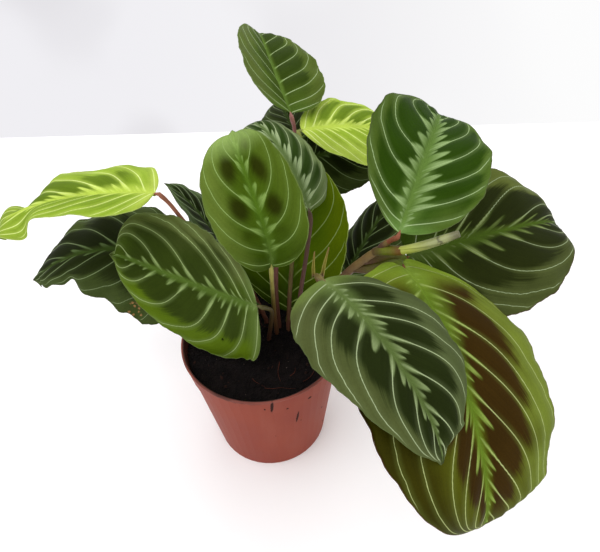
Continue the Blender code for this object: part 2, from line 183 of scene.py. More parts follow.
@dataclass
class Value:
    """A value of a node tree; plain arithmetic on it adds Math nodes."""

    bench: Bench
    socket: bpy.types.NodeSocket

    def __add__(self, other: object) -> "Value":
        """Return the sum."""
        return self.bench.math("ADD", self, other)

    def __sub__(self, other: object) -> "Value":
        """Return the difference."""
        return self.bench.math("SUBTRACT", self, other)

    def __rsub__(self, other: float) -> "Value":
        """Return the difference from a plain number."""
        return self.bench.math("SUBTRACT", other, self)

    def __mul__(self, other: object) -> "Value":
        """Return the product."""
        return self.bench.math("MULTIPLY", self, other)

    def __truediv__(self, other: object) -> "Value":
        """Return the quotient."""
        return self.bench.math("DIVIDE", self, other)

    def __pow__(self, other: object) -> "Value":
        """Return the power."""
        return self.bench.math("POWER", self, other)

    def __or__(self, other: object) -> "Value":
        """Return the larger of the two, which joins masks."""
        return self.bench.math("MAXIMUM", self, other)

    def __abs__(self) -> "Value":
        """Return the size without its sign."""
        return self.bench.math("ABSOLUTE", self)

    def step(self, low: object, high: object) -> "Value":
        """Return a smooth step from 0 at low to 1 at high."""
        return self.bench.get("ShaderNodeMapRange", {"Value": self, "From Min": low, "From Max": high},
                              interpolation_type="SMOOTHSTEP")

    def between(self, first: object, second: object) -> "Value":
        """Return the number that lies this share of the way from first to second."""
        return self.bench.get("ShaderNodeMapRange", {"Value": self, "To Min": first, "To Max": second})


def new_group(name: str, kind: str, inputs: dict[str, object], outputs: dict[str, str]
              ) -> tuple[Bench, dict[str, Value], list]:
    """Start a node group with named inputs and outputs.

    Args:
        name: Name of the group.
        kind: Type of its tree.
        inputs: Default value of each input, or its type as a string.
        outputs: Type of each output.

    Returns:
        The group's bench, the values of its inputs and the sockets of its outputs.
    """
    tree = bpy.data.node_groups.new(name, kind)
    for title, value in inputs.items():
        plain = not isinstance(value, str)
        sort = {int: "Int", float: "Float", tuple: "Color"}[type(value)] if plain else value
        made = tree.interface.new_socket(title, in_out="INPUT", socket_type="NodeSocket" + sort)
        if plain:
            made.default_value = srgb(*value) if sort == "Color" else value
    for title, sort in outputs.items():
        tree.interface.new_socket(title, in_out="OUTPUT", socket_type="NodeSocket" + sort)
    bench = Bench(tree)
    given = bench.add("NodeGroupInput").outputs
    taken = bench.add("NodeGroupOutput").inputs
    return bench, {title: Value(bench, given[title]) for title in inputs}, [taken[t] for t in outputs]


class Skin(Bench):
    """Makes one material round its Principled shader."""

    def __init__(self, name: str, gloss: float = 0.5) -> None:
        """Start the material.

        Args:
            name: Name of the material.
            gloss: Its specular level.
        """
        self.made = bpy.data.materials.new(name)
        self.made.use_nodes = True
        super().__init__(self.made.node_tree)
        self.shader = self.tree.nodes["Principled BSDF"]
        self.shader.inputs["Specular IOR Level"].default_value = gloss

    def done(self, colour: object, roughness: object, height: object, depth: float
             ) -> bpy.types.Material:
        """Feed the shader.

        Args:
            colour: Base colour.
            roughness: Roughness.
            height: Height of the surface, 0 to 1.
            depth: What a height of 1 stands for, in metres.

        Returns:
            The material.
        """
        bump = self.get("ShaderNodeBump", {"Height": height, "Distance": depth})
        for name, value in (("Base Color", colour), ("Roughness", roughness), ("Normal", bump)):
            self.feed(self.shader.inputs[name], value)
        return self.made


# Helpers for meshes

def new_object(name: str, mesh: bpy.types.Mesh, *finishes: bpy.types.Material) -> bpy.types.Object:
    """Put a mesh into the scene as an object at the origin.

    Args:
        name: Name of the object.
        mesh: Its mesh.
        finishes: Materials for its slots.

    Returns:
        The object.
    """
    item = bpy.data.objects.new(name, mesh)
    bpy.context.scene.collection.objects.link(item)
    for finish in finishes:
        mesh.materials.append(finish)
    return item


def new_piece(name: str, mesh: bpy.types.Mesh, slot: str, node: str = "",
              *finishes: bpy.types.Material) -> bpy.types.Object:
    """Make a mesh a piece of the plant.

    Args:
        name: Name of the piece.
        mesh: Its mesh.
        slot: Material slot of the record that it belongs to; not used.
        node: The CAD node that it stands for, if there is one.
        finishes: Materials for its slots.

    Returns:
        The piece.
    """
    piece = new_object(name, mesh, *finishes)
    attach(piece, BODY)
    if node:
        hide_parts(node)
    return piece


def finish_node(name: str, finish: bpy.types.Material) -> None:
    """Give a CAD node that stays its finish."""
    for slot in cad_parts[name].material_slots:
        slot.material = finish


def mesh_of(name: str, places: np.ndarray, faces: list, smooth: bool = True) -> bpy.types.Mesh:
    """Make a mesh in metres.

    Args:
        name: Name of the mesh.
        places: Points in millimetres, one a row.
        faces: Corner numbers of each face.
        smooth: Whether its faces are shaded smooth.

    Returns:
        The mesh.
    """
    mesh = bpy.data.meshes.new(name)
    mesh.from_pydata((np.asarray(places, float) * MM).tolist(), [], faces)
    mesh.polygons.foreach_set("use_smooth", [smooth] * len(mesh.polygons))
    mesh.update()
    return mesh


def store(mesh: bpy.types.Mesh, name: str, values: np.ndarray) -> None:
    """Store a number or a vector for each point of a mesh.

    Args:
        mesh: The mesh.
        name: Name of the attribute.
        values: One row a point.
    """
    kind, key = ("FLOAT", "value") if np.ndim(values) == 1 else ("FLOAT_VECTOR", "vector")
    layer = mesh.attributes.new(name, kind, "POINT")
    layer.data.foreach_set(key, np.asarray(values, np.float32).ravel())


def loft(name: str, rings: list, shares: np.ndarray | None = None) -> bpy.types.Mesh:
    """Join a row of rings of points into a closed skin.

    Args:
        name: Name of the mesh.
        rings: Rings of points in millimetres.
        shares: How far along each ring is, or None where the last ring joins the first.

    Returns:
        The mesh, with the shares stored as its rise.
    """
    count, turns = len(rings[0]), len(rings)
    faces = []
    for low in range(turns if shares is None else turns - 1):
        high = (low + 1) % turns
        for corner in range(count):
            after = (corner + 1) % count
            faces.append((low * count + corner, low * count + after,
                          high * count + after, high * count + corner))
    if shares is not None:
        faces += [tuple(range(count - 1, -1, -1)), tuple(range((turns - 1) * count, turns * count))]
    mesh = mesh_of(name, np.array([tuple(point) for ring in rings for point in ring]), faces)
    if shares is not None:
        store(mesh, "rise", np.repeat(shares, count))
    return mesh


def baked(item: bpy.types.Object, tree: bpy.types.NodeTree, values: dict[str, object]
          ) -> bpy.types.Mesh:
    """Run a geometry tree on an object and keep the result as a plain mesh.

    Args:
        item: The object that the tree starts from, removed afterwards.
        tree: The geometry tree.
        values: Values of its named inputs.

    Returns:
        The resulting mesh, under the object's name.
    """
    change = item.modifiers.new("shape", "NODES")
    change.node_group = tree
    for entry in tree.interface.items_tree:
        if entry.in_out == "INPUT" and entry.name in values:
            change[entry.identifier] = values[entry.name]
    graph = bpy.context.evaluated_depsgraph_get()
    graph.update()
    mesh = bpy.data.meshes.new_from_object(item.evaluated_get(graph), preserve_all_data_layers=True,
                                           depsgraph=graph)
    item.modifiers.remove(change)
    name = item.name
    bpy.data.objects.remove(item, do_unlink=True)
    mesh.name = name
    return mesh


def joined(name: str, meshes: list[bpy.types.Mesh]) -> bpy.types.Mesh:
    """Join meshes into one that keeps the materials of them all.

    Args:
        name: Name of the joined mesh.
        meshes: The meshes, each with one material.

    Returns:
        The joined mesh.
    """
    finishes = list(dict.fromkeys(mesh.materials[0] for mesh in meshes))
    form = bmesh.new()
    for mesh in meshes:
        start = len(form.faces)
        form.from_mesh(mesh)
        form.faces.ensure_lookup_table()
        for face in form.faces[start:]:
            face.material_index = finishes.index(mesh.materials[0])
    made = bpy.data.meshes.new(name)
    form.to_mesh(made)
    form.free()
    for finish in finishes:
        made.materials.append(finish)
    return made


def smooth_route(route: tuple, parts: int) -> list[np.ndarray]:
    """Return points of a smooth curve through the points of a route.

    Args:
        route: The points.
        parts: Number of parts between two of them.

    Returns:
        The points of the curve.
    """
    ends = [np.array(point, float) for point in route]
    padded = [2 * ends[0] - ends[1]] + ends + [2 * ends[-1] - ends[-2]]
    points = [ends[0]]
    for before, start, end, after in zip(padded, padded[1:], padded[2:], padded[3:]):
        for number in range(1, parts + 1):
            t = number / parts
            points.append(0.5 * (2 * start + (end - before) * t
                                 + (2 * before - 5 * start + 4 * end - after) * t * t
                                 + (3 * start - before - 3 * end + after) * t ** 3))
    return points


def spread(values: tuple, count: int) -> tuple[np.ndarray, np.ndarray]:
    """Return shares from 0 to 1 and the values drawn out evenly over them."""
    shares = np.linspace(0, 1, count)
    return shares, np.interp(shares, np.linspace(0, 1, len(values)), values)


# The form of a blade, with the values of the part's source

MIDRIB_STATIONS = 81
HOOK_START = 0.7
TURN_START = 0.55
TURN_END = 0.87
PINCH_PLACE = 0.76
PINCH_REACH = 0.09
BODY_END = 0.965
POINT_START = 0.93
POINT_WIDTH = 0.16
RIGHT_EDGE_PHASE = 1.9
STALK_WIDTH = 2.6
BLADE_THICKNESS = 0.7
MIDRIB_THICKNESS = 1.5
EDGE_THICKNESS = 0.35
MIDRIB_REACH = 2.2                 # how far from the midrib the blade is thicker
NECK_LENGTH = 2.5
NECK_GAP = 0.5


@dataclass(frozen=True)
class Leaf:
    """One leaf: where its blade starts, how it bends and how wide each half is."""

    name: str
    base: tuple
    heading: float
    pitch: float
    roll: float
    length: float
    widths: tuple
    foot: tuple
    route: tuple = ()
    on_stem: bool = False
    sway: float = 0.0
    droop: float = 30.0
    twist: float = 0.0
    hook: float = 5.0
    turn: float = 0.0
    pinch: float = 0.0
    folds: tuple = (15, 15)
    curls: tuple = (25, 25)
    peaks: tuple = (0.45, 0.45)
    rounds: tuple = (0.6, 0.6)
    ripple: float = 1.0
    ripples: float = 3.5


LEAVES = (
    Leaf("top", (31, 94, 240), 108, 28, 9, 103, (34, 39), (13, 14),
         ((13, 22, 140), (17, 42, 172), (24, 62, 197), (29, 82, 210), (33, 95, 224)), sway=-10, droop=28,
         twist=-1, hook=22, folds=(37, 11), curls=(7, 30), peaks=(0.30, 0.40), rounds=(0.45, 0.45)),
    Leaf("lime_right", (38, 91, 228), 20, -3, 20, 102, (34, 34), (20, 11),
         ((23, 20, 135), (28, 38, 168), (32, 54, 190), (36, 71, 206), (38, 83, 218)), sway=2, droop=33,
         twist=-2, folds=(9, 7), curls=(33, 35), peaks=(0.45, 0.50), rounds=(0.65, 0.65), ripple=1.2),
    Leaf("upright_right", (89, -30, 228), 62, 35, 18, 121, (41, 40), (80, -17, 205), ((85, -25, 218),),
         True, sway=11, droop=55, twist=5, hook=4, folds=(23, 25), curls=(17, 15), peaks=(0.50, 0.40),
         ripple=1.5),
    Leaf("far_right", (102, -3, 184), 12, 8, 42, 147, (54, 59), (72, -11, 191), ((88, -8, 191),), True,
         sway=24, droop=34, twist=-11, hook=28, folds=(13, 24), curls=(29, 14), peaks=(0.30, 0.35),
         rounds=(0.45, 0.55), ripple=1.5),
    Leaf("large_front_right", (97, -18, 190), -76, 15, -6, 181, (62, 67), (66, -7, 181),
         ((76, -11, 184), (88, -14, 188)), True, sway=-5, droop=88, twist=-1, hook=31, folds=(5, 19),
         curls=(38, 18), peaks=(0.55, 0.45), rounds=(0.30, 0.6), ripple=1.5),
    Leaf("front", (44, -53, 217), -52, 0, -1, 119, (42, 43), (50, 1, 146),
         ((46, -9, 166), (42, -18, 184), (41, -34, 202)), True, sway=-17, droop=38, twist=-14, hook=52,
         folds=(10, 15), curls=(29, 22), peaks=(0.50, 0.35), ripple=1.2),
    Leaf("front_left", (2, -19, 162), 142, -13, -72, 120, (52, 45), (5, 2),
         ((9, -4, 132), (10, -12, 150)), sway=26, droop=-40, twist=26, hook=20, folds=(7, 19),
         curls=(24, 17), peaks=(0.25, 0.55), rounds=(0.55, 0.25), ripple=0.8),
    Leaf("wavy_left", (-55, 51, 142), 173, 28, -26, 143, (56, 52), (-4, 13),
         ((-12, 22, 119), (-32, 39, 130)), sway=4, droop=75, twist=4, hook=-7, folds=(2, -3),
         curls=(22, 32), peaks=(0.10, 0.45), rounds=(0.65, 0.6), ripple=3.0, ripples=4.0),
    Leaf("lime_left", (-61, 34, 220), 172, 3, 3, 124, (39, 39), (3, 20),
         ((-8, 27, 135), (-28, 31, 162), (-46, 37, 190), (-54, 37, 208)), sway=25, droop=19, twist=11,
         hook=102, turn=-11, pinch=-39, folds=(19, 15), curls=(20, 24), peaks=(0.25, 0.40),
         rounds=(0.55, 0.50), ripple=0.8),
    Leaf("centre", (13, -6, 185), 135, 96, -22, 98, (33, 33), (11, 8), ((11, 4, 130), (12, -4, 165)),
         sway=-35, droop=85, twist=10, hook=-8, folds=(29, 37), curls=(9, 1), peaks=(0.50, 0.50),
         rounds=(0.55, 0.55), ripple=0.8),
    Leaf("behind_centre", (40, 28, 203), 116, 54, 10, 89, (30, 29), (28, 10),
         ((30, 11, 135), (36, 17, 170), (40, 24, 192)), sway=9, droop=57, twist=-20, hook=45,
         folds=(16, 6), curls=(32, 44), peaks=(0.45, 0.30), rounds=(0.55, 0.55)),
    Leaf("small_left", (-29, 63, 147), 162, 72, -11, 67, (22, 22), (-3, 30),
         ((-9, 39, 119), (-22, 54, 132)), sway=5, droop=28, twist=4, hook=18, folds=(30, 1),
         curls=(12, 41), peaks=(0.40, 0.45), rounds=(0.65, 0.65), ripple=1.5),
    Leaf("low_back", (21, 18, 115), 72, 65, 0, 119, (39, 39), (20, 18), droop=21, curls=(28, 28),
         peaks=(0.45, 0.55)),
    Leaf("shaded_back", (39, 110, 190), 16, 10, 26, 102, (35, 36), (32, 35),
         ((33, 44, 125), (34, 62, 150), (34, 85, 172), (34, 103, 185)), droop=24, folds=(13, -3),
         curls=(24, 39), peaks=(0.45, 0.25), rounds=(0.65, 0.65), ripple=0.8),
    Leaf("low_right", (66, 36, 132), 47, 43, -5, 92, (30, 30), (42, 22), ((50, 27, 116),), droop=27,
         folds=(-3, 15), curls=(48, 30)),
    Leaf("small_back", (36, 109, 209), 106, 13, -3, 62, (22, 21), (19, 43),
         ((18, 52, 135), (19, 68, 163), (26, 88, 188), (34, 101, 202)), sway=-3, droop=20, twist=-2,
         hook=-1, folds=(6, 13), curls=(33, 25), peaks=(0.50, 0.45), ripple=0.8),
)


def midrib(leaf: Leaf) -> tuple[np.ndarray, ...]:
    """Follow the midrib of a leaf.

    Args:
        leaf: The leaf.

    Returns:
        Shares of the length, places, directions to the right edge and upward normals.
    """
    along = np.linspace(0.0, 1.0, MIDRIB_STATIONS)
    heading = np.radians(leaf.heading + leaf.sway * along)
    late = np.clip((along - HOOK_START) / (1 - HOOK_START), 0.0, 1.0) ** 2
    pitch = np.radians(leaf.pitch - leaf.droop * along - leaf.hook * late)
    outer = np.clip((along - TURN_START) / (TURN_END - TURN_START), 0.0, 1.0)
    outer = outer * outer * (3 - 2 * outer)
    roll = np.radians(leaf.roll + leaf.twist * along + leaf.turn * outer)[:, None]
    forward = np.stack([np.cos(pitch) * np.cos(heading), np.cos(pitch) * np.sin(heading),
                        np.sin(pitch)], axis=-1)
    level = np.stack([np.sin(heading), -np.cos(heading), 0 * heading], axis=-1)
    across = level * np.cos(roll) - np.cross(level, forward) * np.sin(roll)
    steps = (forward[1:] + forward[:-1]) / 2 * leaf.length / (MIDRIB_STATIONS - 1)
    places = np.array(leaf.base, float) + np.vstack([np.zeros(3), np.cumsum(steps, axis=0)])
    return along, places, across, np.cross(across, forward)


def width_share(along: np.ndarray, peak: float, roundness: float) -> np.ndarray:
    """Return the share of the half width at places along a blade.

    Args:
        along: Shares of the length.
        peak: Where the half is widest.
        roundness: How blunt its ends are, less for blunter ones.

    Returns:
        The shares.
    """
    bend = math.log(0.5) / math.log(peak)
    wave = np.sin(math.pi * np.minimum(along / BODY_END, 1.0) ** bend)
    body = np.clip(wave, 0.0, None) ** roundness
    point = POINT_WIDTH * (1 - along) / (1 - POINT_START)
    return np.where(along < POINT_START, body, np.maximum(body, point))


# Finish of a blade

class Colouring(Enum):
    """The leaf colourings of this plant."""

    DEEP = "deep green with a silver feather"
    MAROON = "lime with chestnut bars"
    BLOTCHED = "mid green with dark oval blotches"
    FRESH = "mid green with teardrop plumes"
    LIME = "young lime green"
    SHADED = "dark green, seen in the shade"


@dataclass(frozen=True)
class BladeFinish:
    """Colours and pattern of one blade, on both faces; reaches are shares of the half width."""

    ground: Colour = (50, 60, 26)
    dark: Colour = (28, 36, 9)
    # The two margin colours hold the margin's own tone and also a painted grey sheen on the outer part of
    # each half.
    left_margin: Colour = (70, 80, 46)
    right_margin: Colour = (72, 80, 42)
    feather_root: Colour = (78, 94, 42)
    feather: Colour = (120, 136, 88)
    vein: Colour = (160, 174, 132)
    rim: Colour = (84, 96, 54)
    base: Colour = (84, 104, 46)
    tip: Colour = (48, 50, 26)
    base_reach: float = 0.10
    tip_reach: float = 0.035
    plume_reach: float = 0.34
    plume_width: float = 0.17
    plume_root: float = 0.7
    barb_reach: float = 0.25
    barb_width: float = 0.21
    second_barb: float = 0.5
    root_band: float = 0.13
    band_end: float = 0.35
    feather_end: float = 0.85
    dark_start: float = 0.06
    left_dark: float = 0.95
    right_dark: float = 0.95
    left_dark_reach: float = 0.6
    right_dark_reach: float = 0.62
    dark_end: float = 1.0
    ovals: float = 0.0
    # Strength of the paler strip by each lateral, a painted sheen of the raised panels.
    strips: float = 0.3
    specks: float = 0.0
    speck_side: float = 0.0
    speck_along: float = 0.5
    vein_width: float = 0.27


FINISHES = {
    Colouring.DEEP: BladeFinish(),
    Colouring.MAROON: BladeFinish(
        (74, 78, 12), (50, 32, 6), (102, 116, 40), (50, 48, 4), (98, 124, 36), (142, 164, 80),
        (168, 178, 116), (82, 48, 28), (140, 168, 52), (96, 76, 34), base_reach=0.19, plume_reach=0.32,
        plume_width=0.11, barb_reach=0.26, barb_width=0.15, second_barb=0.45, root_band=0.15,
        band_end=0.22, feather_end=0.60, right_dark_reach=0.44, dark_end=0.55, strips=0.25),
    Colouring.BLOTCHED: BladeFinish(
        (64, 86, 14), (36, 40, 3), (88, 106, 38), (74, 94, 24), (80, 110, 28), (122, 150, 74),
        (138, 162, 94), (110, 130, 66), (48, 68, 3), (140, 166, 90), base_reach=0.42, tip_reach=0.26,
        plume_width=0.20, plume_root=1.0, barb_reach=0.20, barb_width=0.20, second_barb=0.0,
        band_end=0.7, left_dark=0.9, right_dark=0.9, ovals=1.0),
    Colouring.FRESH: BladeFinish(
        (60, 78, 18), (42, 54, 13), (78, 100, 16), (82, 92, 46), (80, 104, 40), (132, 152, 94),
        (150, 168, 112), (100, 116, 66), plume_reach=0.40, plume_root=0.45, barb_width=0.13,
        second_barb=0.45, root_band=0.06, band_end=0.9, left_dark=0.85, right_dark=0.8,
        left_dark_reach=0.62, right_dark_reach=0.8, strips=0.5),
    Colouring.LIME: BladeFinish(
        (138, 164, 46), (80, 104, 20), (142, 168, 48), (152, 176, 62), (180, 202, 80), (194, 214, 100),
        (210, 226, 138), (170, 190, 96), (180, 200, 82), (150, 170, 70), plume_reach=0.32,
        plume_width=0.24, barb_reach=0.22, barb_width=0.18, root_band=0.14, left_dark=0.9,
        right_dark=0.3, left_dark_reach=0.74, right_dark_reach=0.6, strips=0.7, vein_width=0.36),
    Colouring.SHADED: BladeFinish(
        (46, 56, 22), (26, 32, 9), (60, 72, 34), (60, 72, 32), (56, 74, 28), (88, 106, 64),
        (126, 142, 100), (72, 82, 42), plume_reach=0.24, plume_width=0.12, barb_reach=0.14,
        second_barb=0.0, root_band=0.06),
}

# How a leaf differs from its colouring

LOOKS = {
    "top": (Colouring.BLOTCHED, dict(
        ground=(66, 86, 24), dark=(40, 56, 8), left_margin=(80, 94, 40), right_margin=(78, 94, 34),
        feather_root=(90, 116, 46), feather=(104, 130, 62), vein=(158, 176, 126), base=(74, 98, 34),
        tip=(70, 72, 34), base_reach=0.1, tip_reach=0.035, plume_reach=0.14, plume_width=0.10,
        barb_reach=0.02, barb_width=0.1, root_band=0.035, band_end=0.8, left_dark=0.45, right_dark=0.8,
        left_dark_reach=0.4, right_dark_reach=0.60, ovals=0.0)),
    "lime_right": (Colouring.LIME, dict(
        ground=(152, 180, 54), dark=(92, 118, 24), left_margin=(154, 180, 58),
        right_margin=(166, 190, 72))),
    "upright_right": (Colouring.DEEP, dict(
        ground=(54, 80, 20), dark=(36, 60, 4), left_margin=(66, 86, 28), right_margin=(72, 94, 32),
        feather_root=(94, 122, 54), feather=(130, 154, 98), vein=(156, 178, 126), base=(98, 132, 62),
        base_reach=0.08, plume_reach=0.46, plume_width=0.23, plume_root=0.9, barb_reach=0.34,
        barb_width=0.24, second_barb=0.6, root_band=0.18, band_end=0.5, feather_end=0.9,
        left_dark_reach=0.80, right_dark_reach=0.90)),
    "far_right": (Colouring.DEEP, dict(
        ground=(50, 58, 18), dark=(32, 38, 8), left_margin=(84, 94, 40), right_margin=(64, 72, 34),
        feather_root=(70, 92, 26), feather=(118, 132, 76), vein=(146, 160, 120), rim=(80, 62, 44),
        base=(50, 72, 12), base_reach=0.25, plume_width=0.15, barb_reach=0.27, barb_width=0.10,
        second_barb=0.3, root_band=0.11, left_dark_reach=0.66, right_dark_reach=0.66)),
    "large_front_right": (Colouring.MAROON, {}),
    "front": (Colouring.DEEP, dict(
        feather_root=(84, 102, 52), feather=(122, 138, 92), base=(106, 126, 60), base_reach=0.13,
        plume_width=0.16, barb_width=0.22, root_band=0.16, band_end=0.25, left_dark_reach=0.66,
        right_dark_reach=0.56)),
    "front_left": (Colouring.FRESH, {}),
    "wavy_left": (Colouring.SHADED, dict(
        plume_reach=0.3, left_dark=0.7, specks=0.7, speck_side=-0.92, speck_along=0.23)),
    "lime_left": (Colouring.LIME, dict(
        ground=(128, 156, 40), left_margin=(130, 158, 42), right_margin=(140, 166, 54),
        tip=(132, 154, 50), tip_reach=0.34, left_dark=0.25, right_dark=0.8)),
    "centre": (Colouring.BLOTCHED, {}),
    "behind_centre": (Colouring.DEEP, dict(
        ground=(74, 94, 48), dark=(38, 58, 14), left_margin=(112, 128, 80), right_margin=(104, 120, 74),
        feather_root=(94, 114, 64), feather=(152, 170, 124), tip=(170, 120, 74), plume_reach=0.44,
        plume_width=0.42, plume_root=0.5, barb_reach=0.24, barb_width=0.28, second_barb=0.0,
        root_band=0.12, left_dark_reach=0.7, right_dark_reach=0.7)),
    "small_left": (Colouring.SHADED, dict(
        ground=(62, 80, 40), left_margin=(78, 96, 56), right_margin=(78, 96, 56),
        feather=(118, 136, 94), vein=(140, 158, 116))),
    # low_back: the dark base colour over the lower half of the blade is painted shadow.
    "low_back": (Colouring.LIME, dict(
        ground=(84, 110, 4), left_margin=(86, 112, 8), right_margin=(90, 110, 6),
        feather_root=(72, 100, 12), feather=(92, 122, 34), vein=(148, 170, 92), base=(42, 60, 4),
        tip=(176, 140, 84), base_reach=0.5, plume_reach=0.2, barb_reach=0.12, second_barb=0.0,
        left_dark=0.2, right_dark=0.2, strips=0.2)),
    "shaded_back": (Colouring.SHADED, {}),
    "low_right": (Colouring.SHADED, {}),
    "small_back": (Colouring.SHADED, dict(left_dark=0.3, right_dark=0.3)),
}

# Where the laterals leave the midrib, left and right, as shares of its length

EVEN_LATERALS = ((0.02, 0.08, 0.17, 0.29, 0.44, 0.62, 0.80), (0.01, 0.05, 0.12, 0.22, 0.36, 0.52, 0.70))
LATERALS = {
    "top": ((0.01, 0.07, 0.16, 0.29, 0.46, 0.65, 0.82), (0.00, 0.06, 0.15, 0.27, 0.41, 0.56, 0.72)),
    "lime_right": ((0.02, 0.08, 0.18, 0.30, 0.44, 0.60, 0.77),
                   (0.01, 0.04, 0.09, 0.16, 0.25, 0.36, 0.49, 0.64, 0.80)),
    "upright_right": ((0.00, 0.05, 0.13, 0.28, 0.43, 0.65, 0.82),
                      (0.03, 0.11, 0.21, 0.34, 0.49, 0.64, 0.80)),
    "far_right": ((0.03, 0.10, 0.19, 0.28, 0.53, 0.73, 0.88), (0.02, 0.06, 0.11, 0.25, 0.47, 0.69, 0.84)),
    "large_front_right": ((0.02, 0.11, 0.23, 0.34, 0.48, 0.64, 0.76, 0.88),
                          (0.01, 0.05, 0.14, 0.27, 0.48, 0.59, 0.74, 0.88)),
    "front": ((0.05, 0.16, 0.25, 0.37, 0.53, 0.72, 0.87), (0.03, 0.09, 0.16, 0.28, 0.48, 0.65, 0.81)),
    "front_left": ((-0.01, 0.07, 0.18, 0.29, 0.49, 0.70, 0.83),
                   (-0.01, 0.03, 0.10, 0.20, 0.43, 0.66, 0.86)),
    "lime_left": ((0.01, 0.04, 0.10, 0.18, 0.28, 0.40, 0.54, 0.70, 0.86),
                  (0.00, 0.05, 0.13, 0.26, 0.42, 0.60, 0.78)),
    "centre": ((0.03, 0.13, 0.25, 0.43, 0.69, 0.86), (0.01, 0.15, 0.27, 0.44, 0.68, 0.85)),
    "behind_centre": ((0.02, 0.09, 0.19, 0.31, 0.45, 0.61, 0.78),
                      (0.01, 0.07, 0.15, 0.26, 0.39, 0.54, 0.71)),
}

# How straight the laterals run before they bend, and how far they lean to the tip

EVEN_BENDS = ((0.41, 4.3), (0.41, 4.3))
BENDS = {
    "top": ((0.41, 4.3), (0.30, 2.4)),
    "upright_right": ((0.13, 1.6), (0.47, 1.9)),
    "far_right": ((0.55, 4.9), (0.18, 6.8)),
    "large_front_right": ((0.20, 9.0), (0.21, 9.0)),
    "front": ((0.51, 2.6), (0.25, 4.7)),
    "front_left": ((0.32, 1.7), (0.17, 7.4)),
    "centre": ((0.32, 4.3), (0.31, 2.5)),
}

# Uneven places of the margins: side, place along, reach and share of the width lost

EDGE_NOTCHES = {
    "top": ((1, 0.95, 0.02, 0.10), (1, 0.88, 0.025, -0.05), (1, 0.80, 0.02, 0.05)),
    "upright_right": ((-1, 0.88, 0.03, 0.05),),
    "low_back": ((-1, 0.24, 0.30, -0.26), (1, 0.28, 0.12, -0.15)),
    "shaded_back": ((-1, 0.04, 0.10, -0.35),),
    "low_right": ((-1, 0.04, 0.10, -0.35),),
    "far_right": ((-1, 0.80, 0.04, 0.06), (-1, 0.90, 0.03, -0.05)),
    "large_front_right": ((-1, 0.905, 0.04, -0.16), (-1, 0.957, 0.018, 0.30)),
    "front": ((-1, 0.936, 0.010, 0.88), (-1, 0.955, 0.015, 0.80), (-1, 0.900, 0.018, -0.20),
              (-1, 0.975, 0.012, 0.60), (1, 0.93, 0.04, 0.10)),
    "front_left": ((-1, 0.04, 0.04, -0.10), (-1, 0.135, 0.03, 0.05), (1, 0.90, 0.04, -0.06),
                   (-1, 0.085, 0.012, 0.04)),
    "wavy_left": ((-1, 0.90, 0.05, -0.50), (-1, 0.685, 0.045, 0.32), (-1, 0.56, 0.05, -0.08),
                  (-1, 0.45, 0.03, 0.06), (-1, 0.33, 0.04, -0.06), (1, 0.95, 0.03, 0.30),
                  (1, 0.86, 0.03, -0.12), (1, 0.70, 0.03, -0.05)),
    "lime_left": ((1, 0.07, 0.05, -0.20), (1, 0.34, 0.09, 0.14), (1, 0.60, 0.045, -0.20),
                  (-1, 0.725, 0.045, 0.16), (-1, 0.84, 0.06, -0.22), (-1, 0.93, 0.03, -0.20)),
}

# Lobes of a blade's base, left and right: how far back they reach, and how far out

BASE_LOBES = {"large_front_right": ((9.5, 26.0), (6.5, 40.0))}
LOBE_FALL = 0.03                   # share of the length over which a lobe fades
DRAWN_TIPS = {"front": 7.0}        # how far a tip is drawn out
DRAWN_START = 0.92

# The one blade with a hole: its place, side and along, and its radius

HOLES = {"front_left": (-0.664, 0.222, 1.1)}


class Pattern:
    """A finish that a shader node group draws, whose inputs are the fields of a look."""

    def __init__(self, name: str, look: object, gloss: float, relief: float) -> None:
        """Build the group.

        Args:
            name: Name of the group.
            look: The look that gives the inputs and their defaults.
            gloss: Specular level of its materials.
            relief: Metres that a height of 1 stands for.
        """
        self.gloss, self.relief = gloss, relief
        self.bench, self.given, taken = new_group(name, "ShaderNodeTree", settings(look), SURFACE)
        for socket, value in zip(taken, self.draw()):
            self.bench.feed(socket, value)

    def draw(self) -> tuple[Value, Value, Value]:
        """Return the colour, the roughness and the height of the surface."""
        raise NotImplementedError

    def make(self, name: str, look: object) -> bpy.types.Material:
        """Make one material.

        Args:
            name: Name of the material.
            look: Its colours and sizes.

        Returns:
            The material.
        """
        skin = Skin(name, self.gloss)
        drawn = skin.add("ShaderNodeGroup", settings(look), node_tree=self.bench.tree)
        return skin.done(*(drawn.outputs[title] for title in SURFACE), self.relief)


